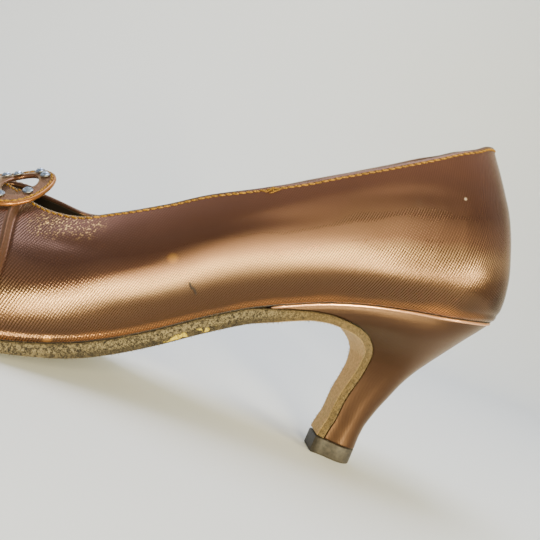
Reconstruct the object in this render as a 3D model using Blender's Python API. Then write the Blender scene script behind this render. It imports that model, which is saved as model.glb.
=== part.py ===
"""Satin court dance shoe for the left foot, standing on its heel tip and forefoot.

The heel end is towards +X and the toe towards -X. The outer (little toe) side is towards -Y.
The origin is on the floor, at the centre of the heel tip. Every length is in metres.
"along" is a share of the shoe's length, counted from the back of the heel to the toe.
"""

import bmesh
import bpy
import numpy as np

# The last: the form that the shoe is built on.
LENGTH = 0.236
BALL_WIDTH = 0.0775
WAIST_WIDTH = 0.0415
SEAT_WIDTH = 0.0520
HEEL_HEIGHT = 0.0640
INSTEP_HEIGHT = 0.0450
TOE_HEIGHT = 0.0215
TOE_SPRING = 0.0055

# The upper and what closes it underneath.
BACK_HEIGHT = 0.0540
SIDE_HEIGHT = 0.0435
THROAT_AHEAD = 0.1700
THROAT_LENGTH = 0.0270
UPPER_WALL = 0.0018
VAMP_STEP = 0.0011
SEAM_AHEAD = 0.1565
SEAM_LEAN = 0.0074
INSOLE_THICKNESS = 0.0022
SOLE_THICKNESS = 0.0034
WAIST_THICKNESS = 0.0044
SOLE_MARGIN = 0.0006
SOLE_CROWN = 0.0022
WAIST_FROM = 0.62
WAIST_BLEND = 0.0250
LIP_CLEAR = 0.0060
GAP = 0.0003

# The heel.
LIP_AHEAD = 0.0760
LIP_INSET = 0.0004
FLAP_THICKNESS = 0.0026

# The keyhole tab over the throat, and its stones.
TAB_LENGTH = 0.0470
TAB_WIDTH = 0.0245
TAB_THICKNESS = 0.0015
TAB_BACK_AHEAD = 0.1508
TAB_SIDE = -0.0070
TAB_LAID_LENGTH = 0.92
TAB_LAID_WIDTH = 0.95
TAB_SKEW = 0.05
TAB_RISE = 0.15
TAB_RISE_SHARE = 0.40
KEYHOLE_LENGTH = 0.0102
KEYHOLE_WIDTH = 0.0150
KEYHOLE_INSET = 0.0047
STONE_RADIUS = 0.0014
STONE_HEIGHT = 0.0011
STONE_GIRDLE = 0.25
STONE_TABLE = 0.50

OUTER, INNER = -1, 1

# How finely the surfaces are divided.
HEEL_COLUMNS = 7
SIDE_COLUMNS = 15
THROAT_COLUMNS = 7
VAMP_COLUMNS = 12
UPPER_ROWS = 9
ACROSS = 8
INSOLE_COLUMNS = 34
HEEL_POINTS = 11
SOLE_TOE_COLUMNS = 12
SOLE_COLUMNS = 17
OUTLINE_STEPS = 721
TAB_POINTS = 48
TAB_ROWS = 6
STONE_SIDES = 8
SHARP_FROM = 35

# Share of the length: how far the bottom rises (share of the heel's rise and of the toe spring), the outer
# side's share of the width, the tuck under the side (share of seat width) on the outer and the inner side,
# the ridge's height as parts of three named heights, the ridge's place towards the inner side (share of ball
# width), and the fullness of the section, where 2 is an ellipse and less is more pointed.
LAST_COLUMNS = ("along", "rise", "spring", "outer", "tuck_out", "tuck_in",
                "cone", "instep", "toe", "ridge_side", "fullness")
LAST_ROWS = (
    (0.00, 1.000, 0.00, 0.500, 0.060, 0.060, 1.32, 0.00, 0.00, 0.000, 2.05),
    (0.05, 0.966, 0.00, 0.500, 0.065, 0.065, 1.32, 0.00, 0.00, 0.000, 2.05),
    (0.10, 0.925, 0.00, 0.500, 0.070, 0.070, 1.32, 0.00, 0.00, 0.000, 2.05),
    (0.15, 0.884, 0.00, 0.503, 0.080, 0.080, 1.31, 0.00, 0.00, 0.004, 2.05),
    (0.20, 0.834, 0.00, 0.512, 0.090, 0.095, 1.29, 0.00, 0.00, 0.008, 2.05),
    (0.25, 0.767, 0.00, 0.528, 0.100, 0.125, 1.26, 0.00, 0.00, 0.014, 2.05),
    (0.30, 0.678, 0.00, 0.548, 0.110, 0.160, 1.23, 0.00, 0.00, 0.020, 2.00),
    (0.35, 0.574, 0.00, 0.575, 0.115, 0.185, 1.19, 0.00, 0.00, 0.028, 2.00),
    (0.40, 0.446, 0.00, 0.592, 0.115, 0.190, 1.10, 0.08, 0.00, 0.042, 1.95),
    (0.45, 0.310, 0.00, 0.592, 0.105, 0.170, 0.90, 0.26, 0.00, 0.060, 1.90),
    (0.50, 0.194, 0.00, 0.578, 0.090, 0.130, 0.62, 0.52, 0.00, 0.078, 1.85),
    (0.55, 0.107, 0.00, 0.560, 0.078, 0.095, 0.34, 0.76, 0.00, 0.094, 1.80),
    (0.60, 0.049, 0.00, 0.543, 0.070, 0.075, 0.12, 0.94, 0.00, 0.108, 1.75),
    (0.65, 0.011, 0.00, 0.530, 0.065, 0.065, 0.00, 1.00, 0.00, 0.118, 1.72),
    (0.70, 0.000, 0.00, 0.518, 0.060, 0.060, 0.00, 0.92, 0.00, 0.120, 1.72),
    (0.75, 0.000, 0.00, 0.508, 0.058, 0.058, 0.00, 0.72, 0.18, 0.112, 1.80),
    (0.81, 0.000, 0.12, 0.500, 0.055, 0.055, 0.00, 0.42, 0.52, 0.094, 1.92),
    (0.87, 0.000, 0.35, 0.500, 0.050, 0.050, 0.00, 0.18, 0.80, 0.072, 2.05),
    (0.93, 0.000, 0.65, 0.500, 0.045, 0.045, 0.00, 0.05, 0.95, 0.054, 2.15),
    (1.00, 0.000, 1.00, 0.500, 0.040, 0.040, 0.00, 0.00, 0.96, 0.040, 2.20),
)

# The back of the counter: shares of the back height, up and ahead of the seat's back edge.
BACK_COLUMNS = ("up", "ahead")
BACK_ROWS = (
    (0.00, 0.000), (0.08, -0.019), (0.25, 0.004), (0.45, 0.067),
    (0.65, 0.160), (0.85, 0.300), (1.00, 0.410), (1.50, 0.640),
)
LEAN_FADES_AT = 0.35
TUCK_HEIGHT = 0.42
TUCK_SHARE = 0.70
SEAM_REACH = 0.20

# The top edge: share of the length, its height as parts of the back and side heights, and the inner side's
# extra. On the last's section it stays at or under EDGE_LIMIT of the ridge's height.
EDGE_LIMIT = 0.985
EDGE_COLUMNS = ("along", "back", "side", "inner_extra")
EDGE_ROWS = (
    (0.00, 1.000, 0.000, 0.00), (0.03, 0.980, 0.000, 0.00), (0.06, 0.945, 0.000, 0.00),
    (0.10, 0.915, 0.000, 0.00), (0.15, 0.600, 0.335, 0.00), (0.20, 0.300, 0.660, 0.00),
    (0.25, 0.100, 0.870, 0.00), (0.30, 0.000, 0.972, 0.00), (0.35, 0.000, 0.948, 0.00),
    (0.40, 0.000, 0.966, -0.01), (0.45, 0.000, 0.997, -0.02), (0.50, 0.000, 0.966, -0.03),
    (0.55, 0.000, 0.916, -0.03), (0.60, 0.000, 0.856, 0.00), (0.65, 0.000, 0.850, 0.06),
    (0.72, 0.000, 0.850, 0.08), (1.00, 0.000, 0.850, 0.08),
)

# The heel from its tip to its lip: front and back points (shares of the lip's reach and of the heel's
# height), half widths at the middle and at the front corner (shares of the seat's width), and how far the
# ring has taken on the seat's outline and rise. A ring has its middle width at RING_MIDDLE of its way ahead.
RING_MIDDLE = 0.5
HEEL_TABLE = ("front", "front_rise", "back", "back_rise", "middle", "corner", "seat")
HEEL_ROWS = (
    (0.507, 0.090, 0.343, 0.090, 0.135, 0.108, 0.00),
    (0.500, 0.145, 0.344, 0.145, 0.131, 0.106, 0.00),
    (0.490, 0.205, 0.341, 0.205, 0.130, 0.105, 0.00),
    (0.486, 0.310, 0.318, 0.310, 0.135, 0.110, 0.00),
    (0.472, 0.410, 0.288, 0.410, 0.149, 0.122, 0.00),
    (0.462, 0.495, 0.260, 0.500, 0.172, 0.142, 0.00),
    (0.464, 0.565, 0.226, 0.585, 0.208, 0.174, 0.00),
    (0.484, 0.626, 0.186, 0.666, 0.262, 0.220, 0.04),
    (0.526, 0.673, 0.145, 0.744, 0.326, 0.275, 0.14),
    (0.580, 0.706, 0.103, 0.822, 0.390, 0.332, 0.32),
    (0.645, 0.723, 0.066, 0.885, 0.440, 0.378, 0.56),
    (0.724, 0.727, 0.036, 0.932, 0.470, 0.405, 0.78),
    (0.816, 0.711, 0.018, 0.962, 0.484, 0.420, 0.92),
    (0.908, 0.678, 0.009, 0.978, 0.488, 0.425, 1.00),
    (1.000, 0.640, 0.0055, 0.987, 0.490, 0.428, 1.00),
)

# The stones: the direction round the keyhole, in degrees from the tab's back end towards the inner side, and
# the share of the way from the keyhole's edge to the tab's outline.
STONE_COLUMNS = ("turn", "share")
STONE_ROWS = (
    (-148, 0.22), (-114, 0.34), (-47, 0.25), (28, 0.45),
    (61, 0.55), (112, 0.15), (134, 0.30), (178, 0.12),
)


def columns(names, rows):
    """A table's columns by name, as arrays."""
    return dict(zip(names, np.array(rows, float).T))


LAST = columns(LAST_COLUMNS, LAST_ROWS)
BACK = columns(BACK_COLUMNS, BACK_ROWS)
EDGE = columns(EDGE_COLUMNS, EDGE_ROWS)
HEEL = columns(HEEL_TABLE, HEEL_ROWS)
STONES = columns(STONE_COLUMNS, STONE_ROWS)
HEEL_TIP_CENTRE = 0.5 * (HEEL["front"][0] + HEEL["back"][0]) * LIP_AHEAD


def smooth(at, knots, values):
    """A monotone cubic curve through the knots: it never overshoots, and it is flat between equal values."""
    knots, values = np.asarray(knots, float), np.asarray(values, float)
    step = np.diff(knots)
    slope = np.diff(values) / step
    tangent = np.zeros(len(knots))
    tangent[0], tangent[-1] = slope[0], slope[-1]
    same = slope[:-1] * slope[1:] > 0
    left, right = step[1:] + 2 * step[:-1], step[:-1] + 2 * step[1:]
    inside = np.zeros(len(slope) - 1)
    np.divide(left + right, left / np.where(same, slope[1:], 1) + right / np.where(same, slope[:-1], 1),
              out=inside, where=same)
    tangent[1:-1] = inside
    at = np.clip(np.asarray(at, float), knots[0], knots[-1])
    k = np.clip(np.searchsorted(knots, at, side="right") - 1, 0, len(step) - 1)
    t = (at - knots[k]) / step[k]
    rest = 1 - t
    return (values[k] * (1 + 2 * t) * rest ** 2 + values[k + 1] * t ** 2 * (3 - 2 * t)
            + step[k] * t * rest * (tangent[k] * rest - tangent[k + 1] * t))


def ease(t):
    """Runs smoothly from 0 to 1 as t does."""
    t = np.clip(t, 0, 1)
    return t * t * (3 - 2 * t)


def world(ahead, side, up):
    """Points in the shoe's frame, from the distance ahead of the hindmost point, the side and the height."""
    ahead, side, up = np.broadcast_arrays(np.asarray(ahead, float), side, up)
    return np.stack([HEEL_TIP_CENTRE - ahead, side, up], axis=-1)


def bottom_height(ahead):
    """Height of the last's bottom edge: it falls from the seat to the tread and springs at the toe."""
    along = np.asarray(ahead, float) / LENGTH
    under = SOLE_THICKNESS + GAP
    rise = smooth(along, LAST["along"], LAST["rise"])
    spring = smooth(along, LAST["along"], LAST["spring"])
    return under + (HEEL_HEIGHT - under) * rise + TOE_SPRING * spring


HEEL_ROUND = 0.5 * SEAT_WIDTH
TOE_ROUND = 0.34 * LENGTH
TOE_POWER = 1.9
TOE_SWING = 0.040 * BALL_WIDTH
SWING_FROM = 0.55
WIDTHS_ALONG = (0, 0.12, 0.385, 0.70, 1.0)
WIDTHS = (SEAT_WIDTH, SEAT_WIDTH, WAIST_WIDTH, BALL_WIDTH, BALL_WIDTH)
TOE_FRONT = 0.70 * TOE_HEIGHT


def plan_cap(ahead):
    """Closes the plan outline: a round heel behind, an almond toe in front, and 1 between them."""
    heel = np.clip(ahead / HEEL_ROUND, 0, 1)
    toe = np.clip((LENGTH - ahead) / TOE_ROUND, 0, 1)
    return np.sqrt(1 - (1 - heel) ** 2) * (1 - (1 - toe) ** TOE_POWER) ** (1 / TOE_POWER)


def centre_line(ahead):
    """The toe swings towards the inner side."""
    return TOE_SWING * ease((np.asarray(ahead, float) / LENGTH - SWING_FROM) / (1 - SWING_FROM))


def bottom_half_width(ahead, side):
    """Half width of the last's bottom edge on one side of the centre line, before the ends are rounded."""
    along = np.asarray(ahead, float) / LENGTH
    width = smooth(along, WIDTHS_ALONG, WIDTHS)
    outer = smooth(along, LAST["along"], LAST["outer"])
    return width * np.where(np.asarray(side) == OUTER, outer, 1 - outer)


def outline(side, inset):
    """The last's bottom edge on one side, drawn in by the inset: distances ahead and places across."""
    ahead = LENGTH * (0.5 - 0.5 * np.cos(np.linspace(0, np.pi, OUTLINE_STEPS)))
    across = centre_line(ahead) + side * bottom_half_width(ahead, side) * plan_cap(ahead)
    forward, outward = np.gradient(ahead), np.gradient(across) * side
    size = np.hypot(forward, outward)
    return ahead + inset * outward / size, across - side * inset * forward / size


def edge_at(ahead, side, inset):
    """The bottom edge's place across the shoe at some distance ahead. Both sides meet at its two ends."""
    ahead = np.asarray(ahead, float)
    along, across = outline(side, inset)
    inside = (ahead > max(along[0], inset)) & (ahead < min(along[-1], LENGTH - inset))
    return np.where(inside, np.interp(ahead, along, across), centre_line(ahead))


def ridge_height(ahead):
    """Height of the last's top over its bottom edge. Behind the throat it is the last's bare cone."""
    ahead = np.asarray(ahead, float)
    rows = LAST["cone"] * BACK_HEIGHT + LAST["instep"] * INSTEP_HEIGHT + LAST["toe"] * TOE_HEIGHT
    front = np.clip((LENGTH - ahead) / TOE_FRONT, 0, 1)
    return smooth(ahead / LENGTH, LAST["along"], rows) * np.sqrt(1 - (1 - front) ** 2)


def last_point(ahead, side, share):
    """A point of the last. share runs over its section, from 0 at the bottom edge to 1 at the ridge.

    The section is a superellipse: side and height follow cosine and sine raised to 2 / fullness.
    The side tucks in towards the bottom edge. Near the back each level leans with the counter, and near the
    side seam the sections lean with the seam.
    """
    share = np.asarray(share, float)
    near_seam = ease(1 - np.abs(ahead - SEAM_AHEAD) / (SEAM_REACH * LENGTH))
    ahead = ahead - SEAM_LEAN * near_seam * (1 - np.sin(0.5 * np.pi * share))
    along = ahead / LENGTH
    angle = 0.5 * np.pi * share
    power = 2 / smooth(along, LAST["along"], LAST["fullness"])
    height = ridge_height(ahead) * np.sin(angle) ** power
    tuck = SEAT_WIDTH * smooth(along, LAST["along"], LAST["tuck_out" if side == OUTER else "tuck_in"])
    cap = plan_cap(ahead)
    middle = centre_line(ahead)
    ridge = middle + (BALL_WIDTH * smooth(along, LAST["along"], LAST["ridge_side"]) - middle) * cap
    edge = middle + side * (bottom_half_width(ahead, side) + tuck) * cap
    across = ridge + (edge - ridge) * np.maximum(np.cos(angle), 0) ** power
    tucked = np.maximum(np.minimum(TUCK_HEIGHT * BACK_HEIGHT, TUCK_SHARE * ridge_height(ahead)), GAP)
    low = np.clip(1 - height / tucked, 0, 1) ** 2
    across = across - side * tuck * cap * low
    fade = 1 - ease(along / LEAN_FADES_AT)
    lean = BACK_HEIGHT * smooth(height / BACK_HEIGHT, BACK["up"], BACK["ahead"]) * fade
    return world(ahead + lean, across, bottom_height(ahead) + height)


def edge_share(ahead, side):
    """Where the top edge crosses the section, as a share of the section: 1 in front of the throat."""
    ahead = np.asarray(ahead, float)
    along = ahead / LENGTH
    rows = EDGE["back"] * BACK_HEIGHT + EDGE["side"] * SIDE_HEIGHT
    height = smooth(along, EDGE["along"], rows)
    extra = smooth(along, EDGE["along"], EDGE["inner_extra"]) * SIDE_HEIGHT
    height = height + np.where(np.asarray(side) == INNER, extra, 0)
    power = 2 / smooth(along, LAST["along"], LAST["fullness"])
    full = np.maximum(ridge_height(ahead), height / EDGE_LIMIT)
    rise = np.minimum(height / np.maximum(full, 1e-9), EDGE_LIMIT) ** (1 / power)
    open_part = np.clip((THROAT_AHEAD - ahead) / THROAT_LENGTH, 0, 1)
    across = np.sqrt(1 - rise ** 2) * np.sqrt(1 - (1 - open_part) ** 2)
    return np.arccos(np.clip(across, 0, 1)) / (0.5 * np.pi)


def new_object(name, verts, faces, smooth_shading=True, merge=1e-6):
    """A mesh object in the scene, with coinciding points merged and its faces pointing out."""
    bm = bmesh.new()
    made = [bm.verts.new(v) for v in verts]
    for face in faces:
        bm.faces.new([made[i] for i in face])
    bmesh.ops.remove_doubles(bm, verts=bm.verts, dist=merge)
    bmesh.ops.dissolve_degenerate(bm, edges=bm.edges, dist=merge)
    bmesh.ops.recalc_face_normals(bm, faces=bm.faces)
    mesh = bpy.data.meshes.new(name)
    bm.to_mesh(mesh)
    bm.free()
    if smooth_shading:
        mesh.shade_smooth()
        mesh.set_sharp_from_angle(angle=np.radians(SHARP_FROM))
    made_object = bpy.data.objects.new(name, mesh)
    bpy.context.scene.collection.objects.link(made_object)
    return made_object


def grid_faces(rows, count, start=0):
    """Quads between neighbouring rows of a grid of points."""
    firsts = [start + r * count + c for r in range(rows - 1) for c in range(count - 1)]
    return [(k, k + 1, k + count + 1, k + count) for k in firsts]


def merged_sheet(verts, faces):
    """The sheet's points and faces after coinciding points are merged, with each point's outward normal."""
    bm = bmesh.new()
    tags = bm.verts.layers.int.new("source")
    made = [bm.verts.new(v) for v in verts]
    for i, v in enumerate(made):
        v[tags] = i
    for face in faces:
        bm.faces.new([made[i] for i in face])
    bmesh.ops.remove_doubles(bm, verts=bm.verts, dist=1e-6)
    bmesh.ops.dissolve_degenerate(bm, edges=bm.edges, dist=1e-6)
    bm.normal_update()
    bm.verts.index_update()
    points = np.array([v.co for v in bm.verts])
    normals = np.array([v.normal for v in bm.verts])
    source = np.array([v[tags] for v in bm.verts])
    polygons = [[v.index for v in f.verts] for f in bm.faces]
    rim = [(e.verts[0].index, e.verts[1].index) for e in bm.edges if e.is_boundary]
    bm.free()
    return points, normals, source, polygons, rim


def shell_object(name, outside, inside, polygons, rim):
    """A closed wall between two copies of one sheet, joined along the sheet's rim."""
    count = len(outside)
    verts = np.concatenate([outside, inside])
    faces = [list(p) for p in polygons]
    faces += [[i + count for i in reversed(p)] for p in polygons]
    faces += [[a, b, b + count, a + count] for a, b in rim]
    return new_object(name, verts, faces)


def upper_columns():
    """Distances ahead at which the upper's sections stand, with two close ones at the side seam."""
    turn = np.linspace(0, 0.5 * np.pi, HEEL_COLUMNS)
    heel = HEEL_ROUND * (1 - np.cos(turn))
    throat_start = THROAT_AHEAD - THROAT_LENGTH
    side = np.linspace(HEEL_ROUND, throat_start, SIDE_COLUMNS)
    throat = throat_start + THROAT_LENGTH * np.sin(np.linspace(0, 0.5 * np.pi, THROAT_COLUMNS))
    turn = np.linspace(0, 0.5 * np.pi, VAMP_COLUMNS)
    vamp = THROAT_AHEAD + (LENGTH - THROAT_AHEAD) * np.sin(turn)
    seam = (SEAM_AHEAD, SEAM_AHEAD + VAMP_STEP)
    others = np.concatenate([heel, side, throat, vamp])
    others = others[np.abs(others - np.mean(seam)) > 1.5 * VAMP_STEP]
    return np.unique(np.round(np.concatenate([others, seam]), 7))


def section_shares(ahead, side, rows):
    """Shares of the section from the bottom edge to the top edge, spaced evenly along the surface."""
    top = float(edge_share(ahead, side))
    fine = np.linspace(0, top, 120)
    points = last_point(np.full(120, ahead), side, fine)
    run = np.concatenate([[0], np.cumsum(np.linalg.norm(np.diff(points, axis=0), axis=1))])
    if run[-1] <= 0:
        return np.linspace(0, top, rows)
    return np.interp(np.linspace(0, run[-1], rows), run, fine)


def make_upper():
    """Quarters and vamp: one wall, open at the collar and underneath, and thicker ahead of the side seam."""
    stations = upper_columns()
    verts, faces, raised = [], [], []
    for side in (OUTER, INNER):
        start = len(verts)
        for ahead in stations:
            shares = section_shares(ahead, side, UPPER_ROWS)
            points = last_point(np.full(UPPER_ROWS, ahead), side, shares)
            if ahead <= 0 or ahead >= LENGTH:
                points[:, 1] = centre_line(ahead)
            verts.extend(points)
            raised.extend([VAMP_STEP * (ahead > SEAM_AHEAD)] * UPPER_ROWS)
        strip = grid_faces(len(stations), UPPER_ROWS, start)
        faces += [f[::-1] for f in strip] if side == INNER else strip
    points, normals, source, polygons, rim = merged_sheet(verts, faces)
    if np.sum(normals * (points - points.mean(0))) < 0:
        normals = -normals
    raised = np.array(raised)[source][:, None]
    outside = points + normals * raised
    inside = points - normals * UPPER_WALL
    low = points[:, 2] <= bottom_height(HEEL_TIP_CENTRE - points[:, 0]) + 1e-4
    outside[low, 2] = points[low, 2]
    return shell_object("upper", outside, inside, polygons, rim)


def make_insole():
    """The board that the foot stands on, inside the upper's wall from the seat to the toe."""
    clear = UPPER_WALL + 2 * GAP
    stations = clear + (LENGTH - 2 * clear) * (0.5 - 0.5 * np.cos(np.linspace(0, np.pi, INSOLE_COLUMNS)))
    shares = np.linspace(0, 1, ACROSS + 1)[None, :]
    outer, inner = edge_at(stations, OUTER, clear)[:, None], edge_at(stations, INNER, clear)[:, None]
    across = outer + (inner - outer) * shares
    verts = world(stations[:, None], across, bottom_height(stations)[:, None]).reshape(-1, 3)
    points, _, _, polygons, rim = merged_sheet(verts, grid_faces(len(stations), ACROSS + 1))
    return shell_object("insole", points + (0, 0, INSOLE_THICKNESS), points, polygons, rim)


def heel_ring(row):
    """One ring of the heel: its points on each side, from the back to the front corner.

    Low rings are level and D-shaped, round behind and flat at the breast. High ones take on the seat's
    outline.
    """
    front, back = HEEL["front"][row] * LIP_AHEAD, HEEL["back"][row] * LIP_AHEAD
    front_up, back_up = HEEL["front_rise"][row] * HEEL_HEIGHT, HEEL["back_rise"][row] * HEEL_HEIGHT
    share = 1 - np.cos(np.linspace(0, 0.5 * np.pi, HEEL_POINTS))
    ahead = back + (front - back) * share
    seat = HEEL["seat"][row]
    ends = bottom_height(np.array([back, front]))
    bend = bottom_height(ahead) - (ends[0] + (ends[1] - ends[0]) * share)
    up = back_up + (front_up - back_up) * share + seat * bend
    middle, corner = HEEL["middle"][row] * SEAT_WIDTH, HEEL["corner"][row] * SEAT_WIDTH
    rounding = np.sqrt(1 - (1 - np.clip(share / RING_MIDDLE, 0, 1)) ** 2)
    own = (middle + (corner - middle) * ease((share - RING_MIDDLE) / (1 - RING_MIDDLE))) * rounding
    sides = []
    for side in (OUTER, INNER):
        follow = np.abs(edge_at(LIP_INSET + (front - back) * share, side, LIP_INSET))
        sides.append(world(ahead, side * (own * (1 - seat) + follow * seat), up))
    return sides


def seat_ring():
    """The heel's top ring, close under the upper from the back of the seat to the lip's front end."""
    share = 1 - np.cos(np.linspace(0, 0.5 * np.pi, HEEL_POINTS))
    ahead = LIP_INSET + (LIP_AHEAD - LIP_INSET) * share
    up = bottom_height(ahead) - GAP
    return [world(ahead, edge_at(ahead, side, LIP_INSET), up) for side in (OUTER, INNER)]


def make_heel():
    """The covered heel: rings from tip to lip, closed by ladders of quads at the seat and the tip."""
    rings = [heel_ring(row) for row in range(len(HEEL_ROWS))] + [seat_ring()]
    count = len(rings[0][0])
    around = count + len(rings[0][1])
    verts = [p for outer, inner in rings for p in np.concatenate([outer, inner])]
    faces = []
    for r in range(len(rings) - 1):
        low, high = r * around, (r + 1) * around
        for k in range(count - 1):
            for first in (k, count + k):
                faces.append((low + first, low + first + 1, high + first + 1, high + first))
        faces.append((low + count - 1, low + around - 1, high + around - 1, high + count - 1))
    for start in (0, (len(rings) - 1) * around):
        faces += [(k, k + 1, k + 1 + count, k + count) for k in range(start, start + count - 1)]
    return new_object("heel", verts, faces)


def make_heel_tip():
    """The top piece on the floor: the heel's lowest ring drawn straight down, and ahead under the flap."""
    outer, inner = heel_ring(0)
    outer[-1, 0] -= FLAP_THICKNESS + GAP
    inner[-1, 0] -= FLAP_THICKNESS + GAP
    loop = np.concatenate([outer, inner[:0:-1]])
    count = len(loop)
    top, low = loop.copy(), loop.copy()
    top[:, 2] -= GAP
    low[:, 2] = 0
    faces = [list(range(count)), list(range(count, 2 * count))[::-1]]
    faces += [(k, (k + 1) % count, count + (k + 1) % count, count + k) for k in range(count)]
    return new_object("heel_tip", np.concatenate([top, low]), faces)


def sole_path():
    """The sole's upper face in the side view: back under the last from the toe, then down the breast.

    Returns, for each station, the distance ahead, the height and the two edges across, and the station where
    the sole leaves the last.
    """
    toe = LENGTH + SOLE_MARGIN - TOE_ROUND * (1 - np.cos(np.linspace(0, 0.5 * np.pi, SOLE_TOE_COLUMNS)))
    waist = np.linspace(toe[-1], LIP_AHEAD + LIP_CLEAR, SOLE_COLUMNS)[1:]
    ahead = np.concatenate([toe, waist])
    up = bottom_height(ahead) - GAP
    edges = np.stack([edge_at(ahead, side, -SOLE_MARGIN) for side in (OUTER, INNER)], axis=1)
    leaves = len(ahead) - 1
    corners = np.array([[ring[-1] for ring in heel_ring(row)] for row in range(len(HEEL_ROWS) - 1, -1, -1)])
    breast, height = HEEL_TIP_CENTRE - corners[:, 0, 0], corners[:, 0, 2]
    down_edges = corners[:, :, 1] + np.array([OUTER, INNER]) * SOLE_MARGIN
    forward, rise = np.gradient(breast), np.gradient(height)
    size = np.hypot(forward, rise)
    breast, height = breast - rise / size * GAP, height + forward / size * GAP
    return (np.concatenate([ahead, breast]), np.concatenate([up, height]),
            np.concatenate([edges, down_edges]), leaves)


def make_outsole():
    """The suede sole in one piece: tread, waist, and the flap that covers the heel's breast."""
    ahead, up, edges, leaves = sole_path()
    forward, rise = np.gradient(ahead), np.gradient(up)
    size = np.hypot(forward, rise)
    run = np.concatenate([[0], np.cumsum(np.hypot(np.diff(ahead), np.diff(up)))])
    in_waist = ease((WAIST_FROM * LENGTH - ahead) / WAIST_BLEND)
    on_heel = ease((run - run[leaves]) / WAIST_BLEND)
    edge = SOLE_THICKNESS + (WAIST_THICKNESS - SOLE_THICKNESS) * in_waist
    edge = edge + (FLAP_THICKNESS - edge) * on_heel
    crown = SOLE_CROWN * in_waist * (1 - on_heel)
    shares = np.linspace(0, 1, ACROSS + 1)[None, :]
    across = edges[:, :1] + (edges[:, 1:] - edges[:, :1]) * shares
    deep = edge[:, None] + crown[:, None] * (1 - (2 * shares - 1) ** 2)
    top = world(ahead[:, None], across, up[:, None]).reshape(-1, 3)
    low = world(ahead[:, None] - (rise / size)[:, None] * deep, across,
                up[:, None] + (forward / size)[:, None] * deep).reshape(-1, 3)
    points, _, source, polygons, rim = merged_sheet(top, grid_faces(len(ahead), ACROSS + 1))
    return shell_object("outsole", points, low[source], polygons, rim)


def surface_height(ahead, across):
    """Height of the last's top surface at a place seen from above, with the section's own formula."""
    along = ahead / LENGTH
    fullness = smooth(along, LAST["along"], LAST["fullness"])
    cap = plan_cap(ahead)
    middle = centre_line(ahead)
    ridge = middle + (BALL_WIDTH * smooth(along, LAST["along"], LAST["ridge_side"]) - middle) * cap
    side = np.where(across < ridge, OUTER, INNER)
    tuck = SEAT_WIDTH * np.where(side == OUTER, smooth(along, LAST["along"], LAST["tuck_out"]),
                                 smooth(along, LAST["along"], LAST["tuck_in"]))
    edge = middle + side * (bottom_half_width(ahead, side) + tuck) * cap
    share = np.clip(np.abs((across - ridge) / (edge - ridge)), 0, 1)
    return bottom_height(ahead) + ridge_height(ahead) * (1 - share ** fullness) ** (1 / fullness)


def tab_place(forward, across):
    """A point of the tab's sheet: forward along the tab from its back end, and across it.

    The sheet is laid on the last. Its back end, over the throat, rises off it towards the inner side.
    """
    forward, across = np.asarray(forward, float), np.asarray(across, float)
    ahead = TAB_BACK_AHEAD + forward * TAB_LAID_LENGTH
    side = TAB_SIDE + across * TAB_LAID_WIDTH + forward * TAB_SKEW
    free = 1 - ease(forward / (TAB_RISE_SHARE * TAB_LENGTH))
    rise = TAB_RISE * (across + 0.5 * TAB_WIDTH) * free
    return world(ahead, side, surface_height(ahead, side) + rise)


def tab_outline(count):
    """Points round the tab's edge: two straight sides and two round ends, from the back end's middle."""
    radius = 0.5 * TAB_WIDTH
    straight = TAB_LENGTH - TAB_WIDTH
    total = 2 * straight + 2 * np.pi * radius
    run = np.linspace(0, total, count, endpoint=False)
    forward, across = np.zeros(count), np.zeros(count)
    quarter = 0.5 * np.pi * radius
    for k, s in enumerate(run):
        if s < quarter:
            turn = s / radius
            forward[k], across[k] = radius * (1 - np.cos(turn)), radius * np.sin(turn)
        elif s < quarter + straight:
            forward[k], across[k] = radius + s - quarter, radius
        elif s < 3 * quarter + straight:
            turn = (s - quarter - straight) / radius
            forward[k], across[k] = radius + straight + radius * np.sin(turn), radius * np.cos(turn)
        elif s < 3 * quarter + 2 * straight:
            forward[k], across[k] = radius + straight - (s - 3 * quarter - straight), -radius
        else:
            turn = (s - 3 * quarter - 2 * straight) / radius
            forward[k], across[k] = radius * (1 - np.sin(turn)), -radius * np.cos(turn)
    return forward, across


def keyhole_edge(turn):
    """Points of the oval keyhole's edge, for directions round its centre."""
    centre = KEYHOLE_INSET + 0.5 * KEYHOLE_LENGTH
    return centre - 0.5 * KEYHOLE_LENGTH * np.cos(turn), 0.5 * KEYHOLE_WIDTH * np.sin(turn)


def outline_turn(forward, across):
    """Directions of points round the keyhole's centre, from the tab's back end towards the inner side."""
    return np.arctan2(across, KEYHOLE_INSET + 0.5 * KEYHOLE_LENGTH - forward)


def make_tab():
    """The keyhole tab: a strip with round ends and one oval hole, laid over the throat and on the vamp."""
    forward, across = tab_outline(TAB_POINTS)
    hole_forward, hole_across = keyhole_edge(outline_turn(forward, across))
    verts = []
    for share in np.linspace(0, 1, TAB_ROWS):
        ring_forward = hole_forward + (forward - hole_forward) * share
        ring_across = hole_across + (across - hole_across) * share
        verts.extend(tab_place(ring_forward, ring_across))
    faces = []
    for r in range(TAB_ROWS - 1):
        low, high = r * TAB_POINTS, (r + 1) * TAB_POINTS
        pairs = [(k, (k + 1) % TAB_POINTS) for k in range(TAB_POINTS)]
        faces += [(low + a, low + b, high + b, high + a) for a, b in pairs]
    points, normals, _, polygons, rim = merged_sheet(verts, faces)
    normals = normals * np.sign(normals[:, 2])[:, None]
    low = points + normals * (VAMP_STEP + GAP)
    return shell_object("throat_tab", low + normals * TAB_THICKNESS, low, polygons, rim)


def tab_normal(forward, across, reach=0.001):
    """The tab's upward direction at one place, from its slopes."""
    a = tab_place(forward + reach, across) - tab_place(forward - reach, across)
    b = tab_place(forward, across + reach) - tab_place(forward, across - reach)
    normal = np.cross(a, b)
    normal /= np.linalg.norm(normal)
    return normal * np.sign(normal[2])


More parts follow.
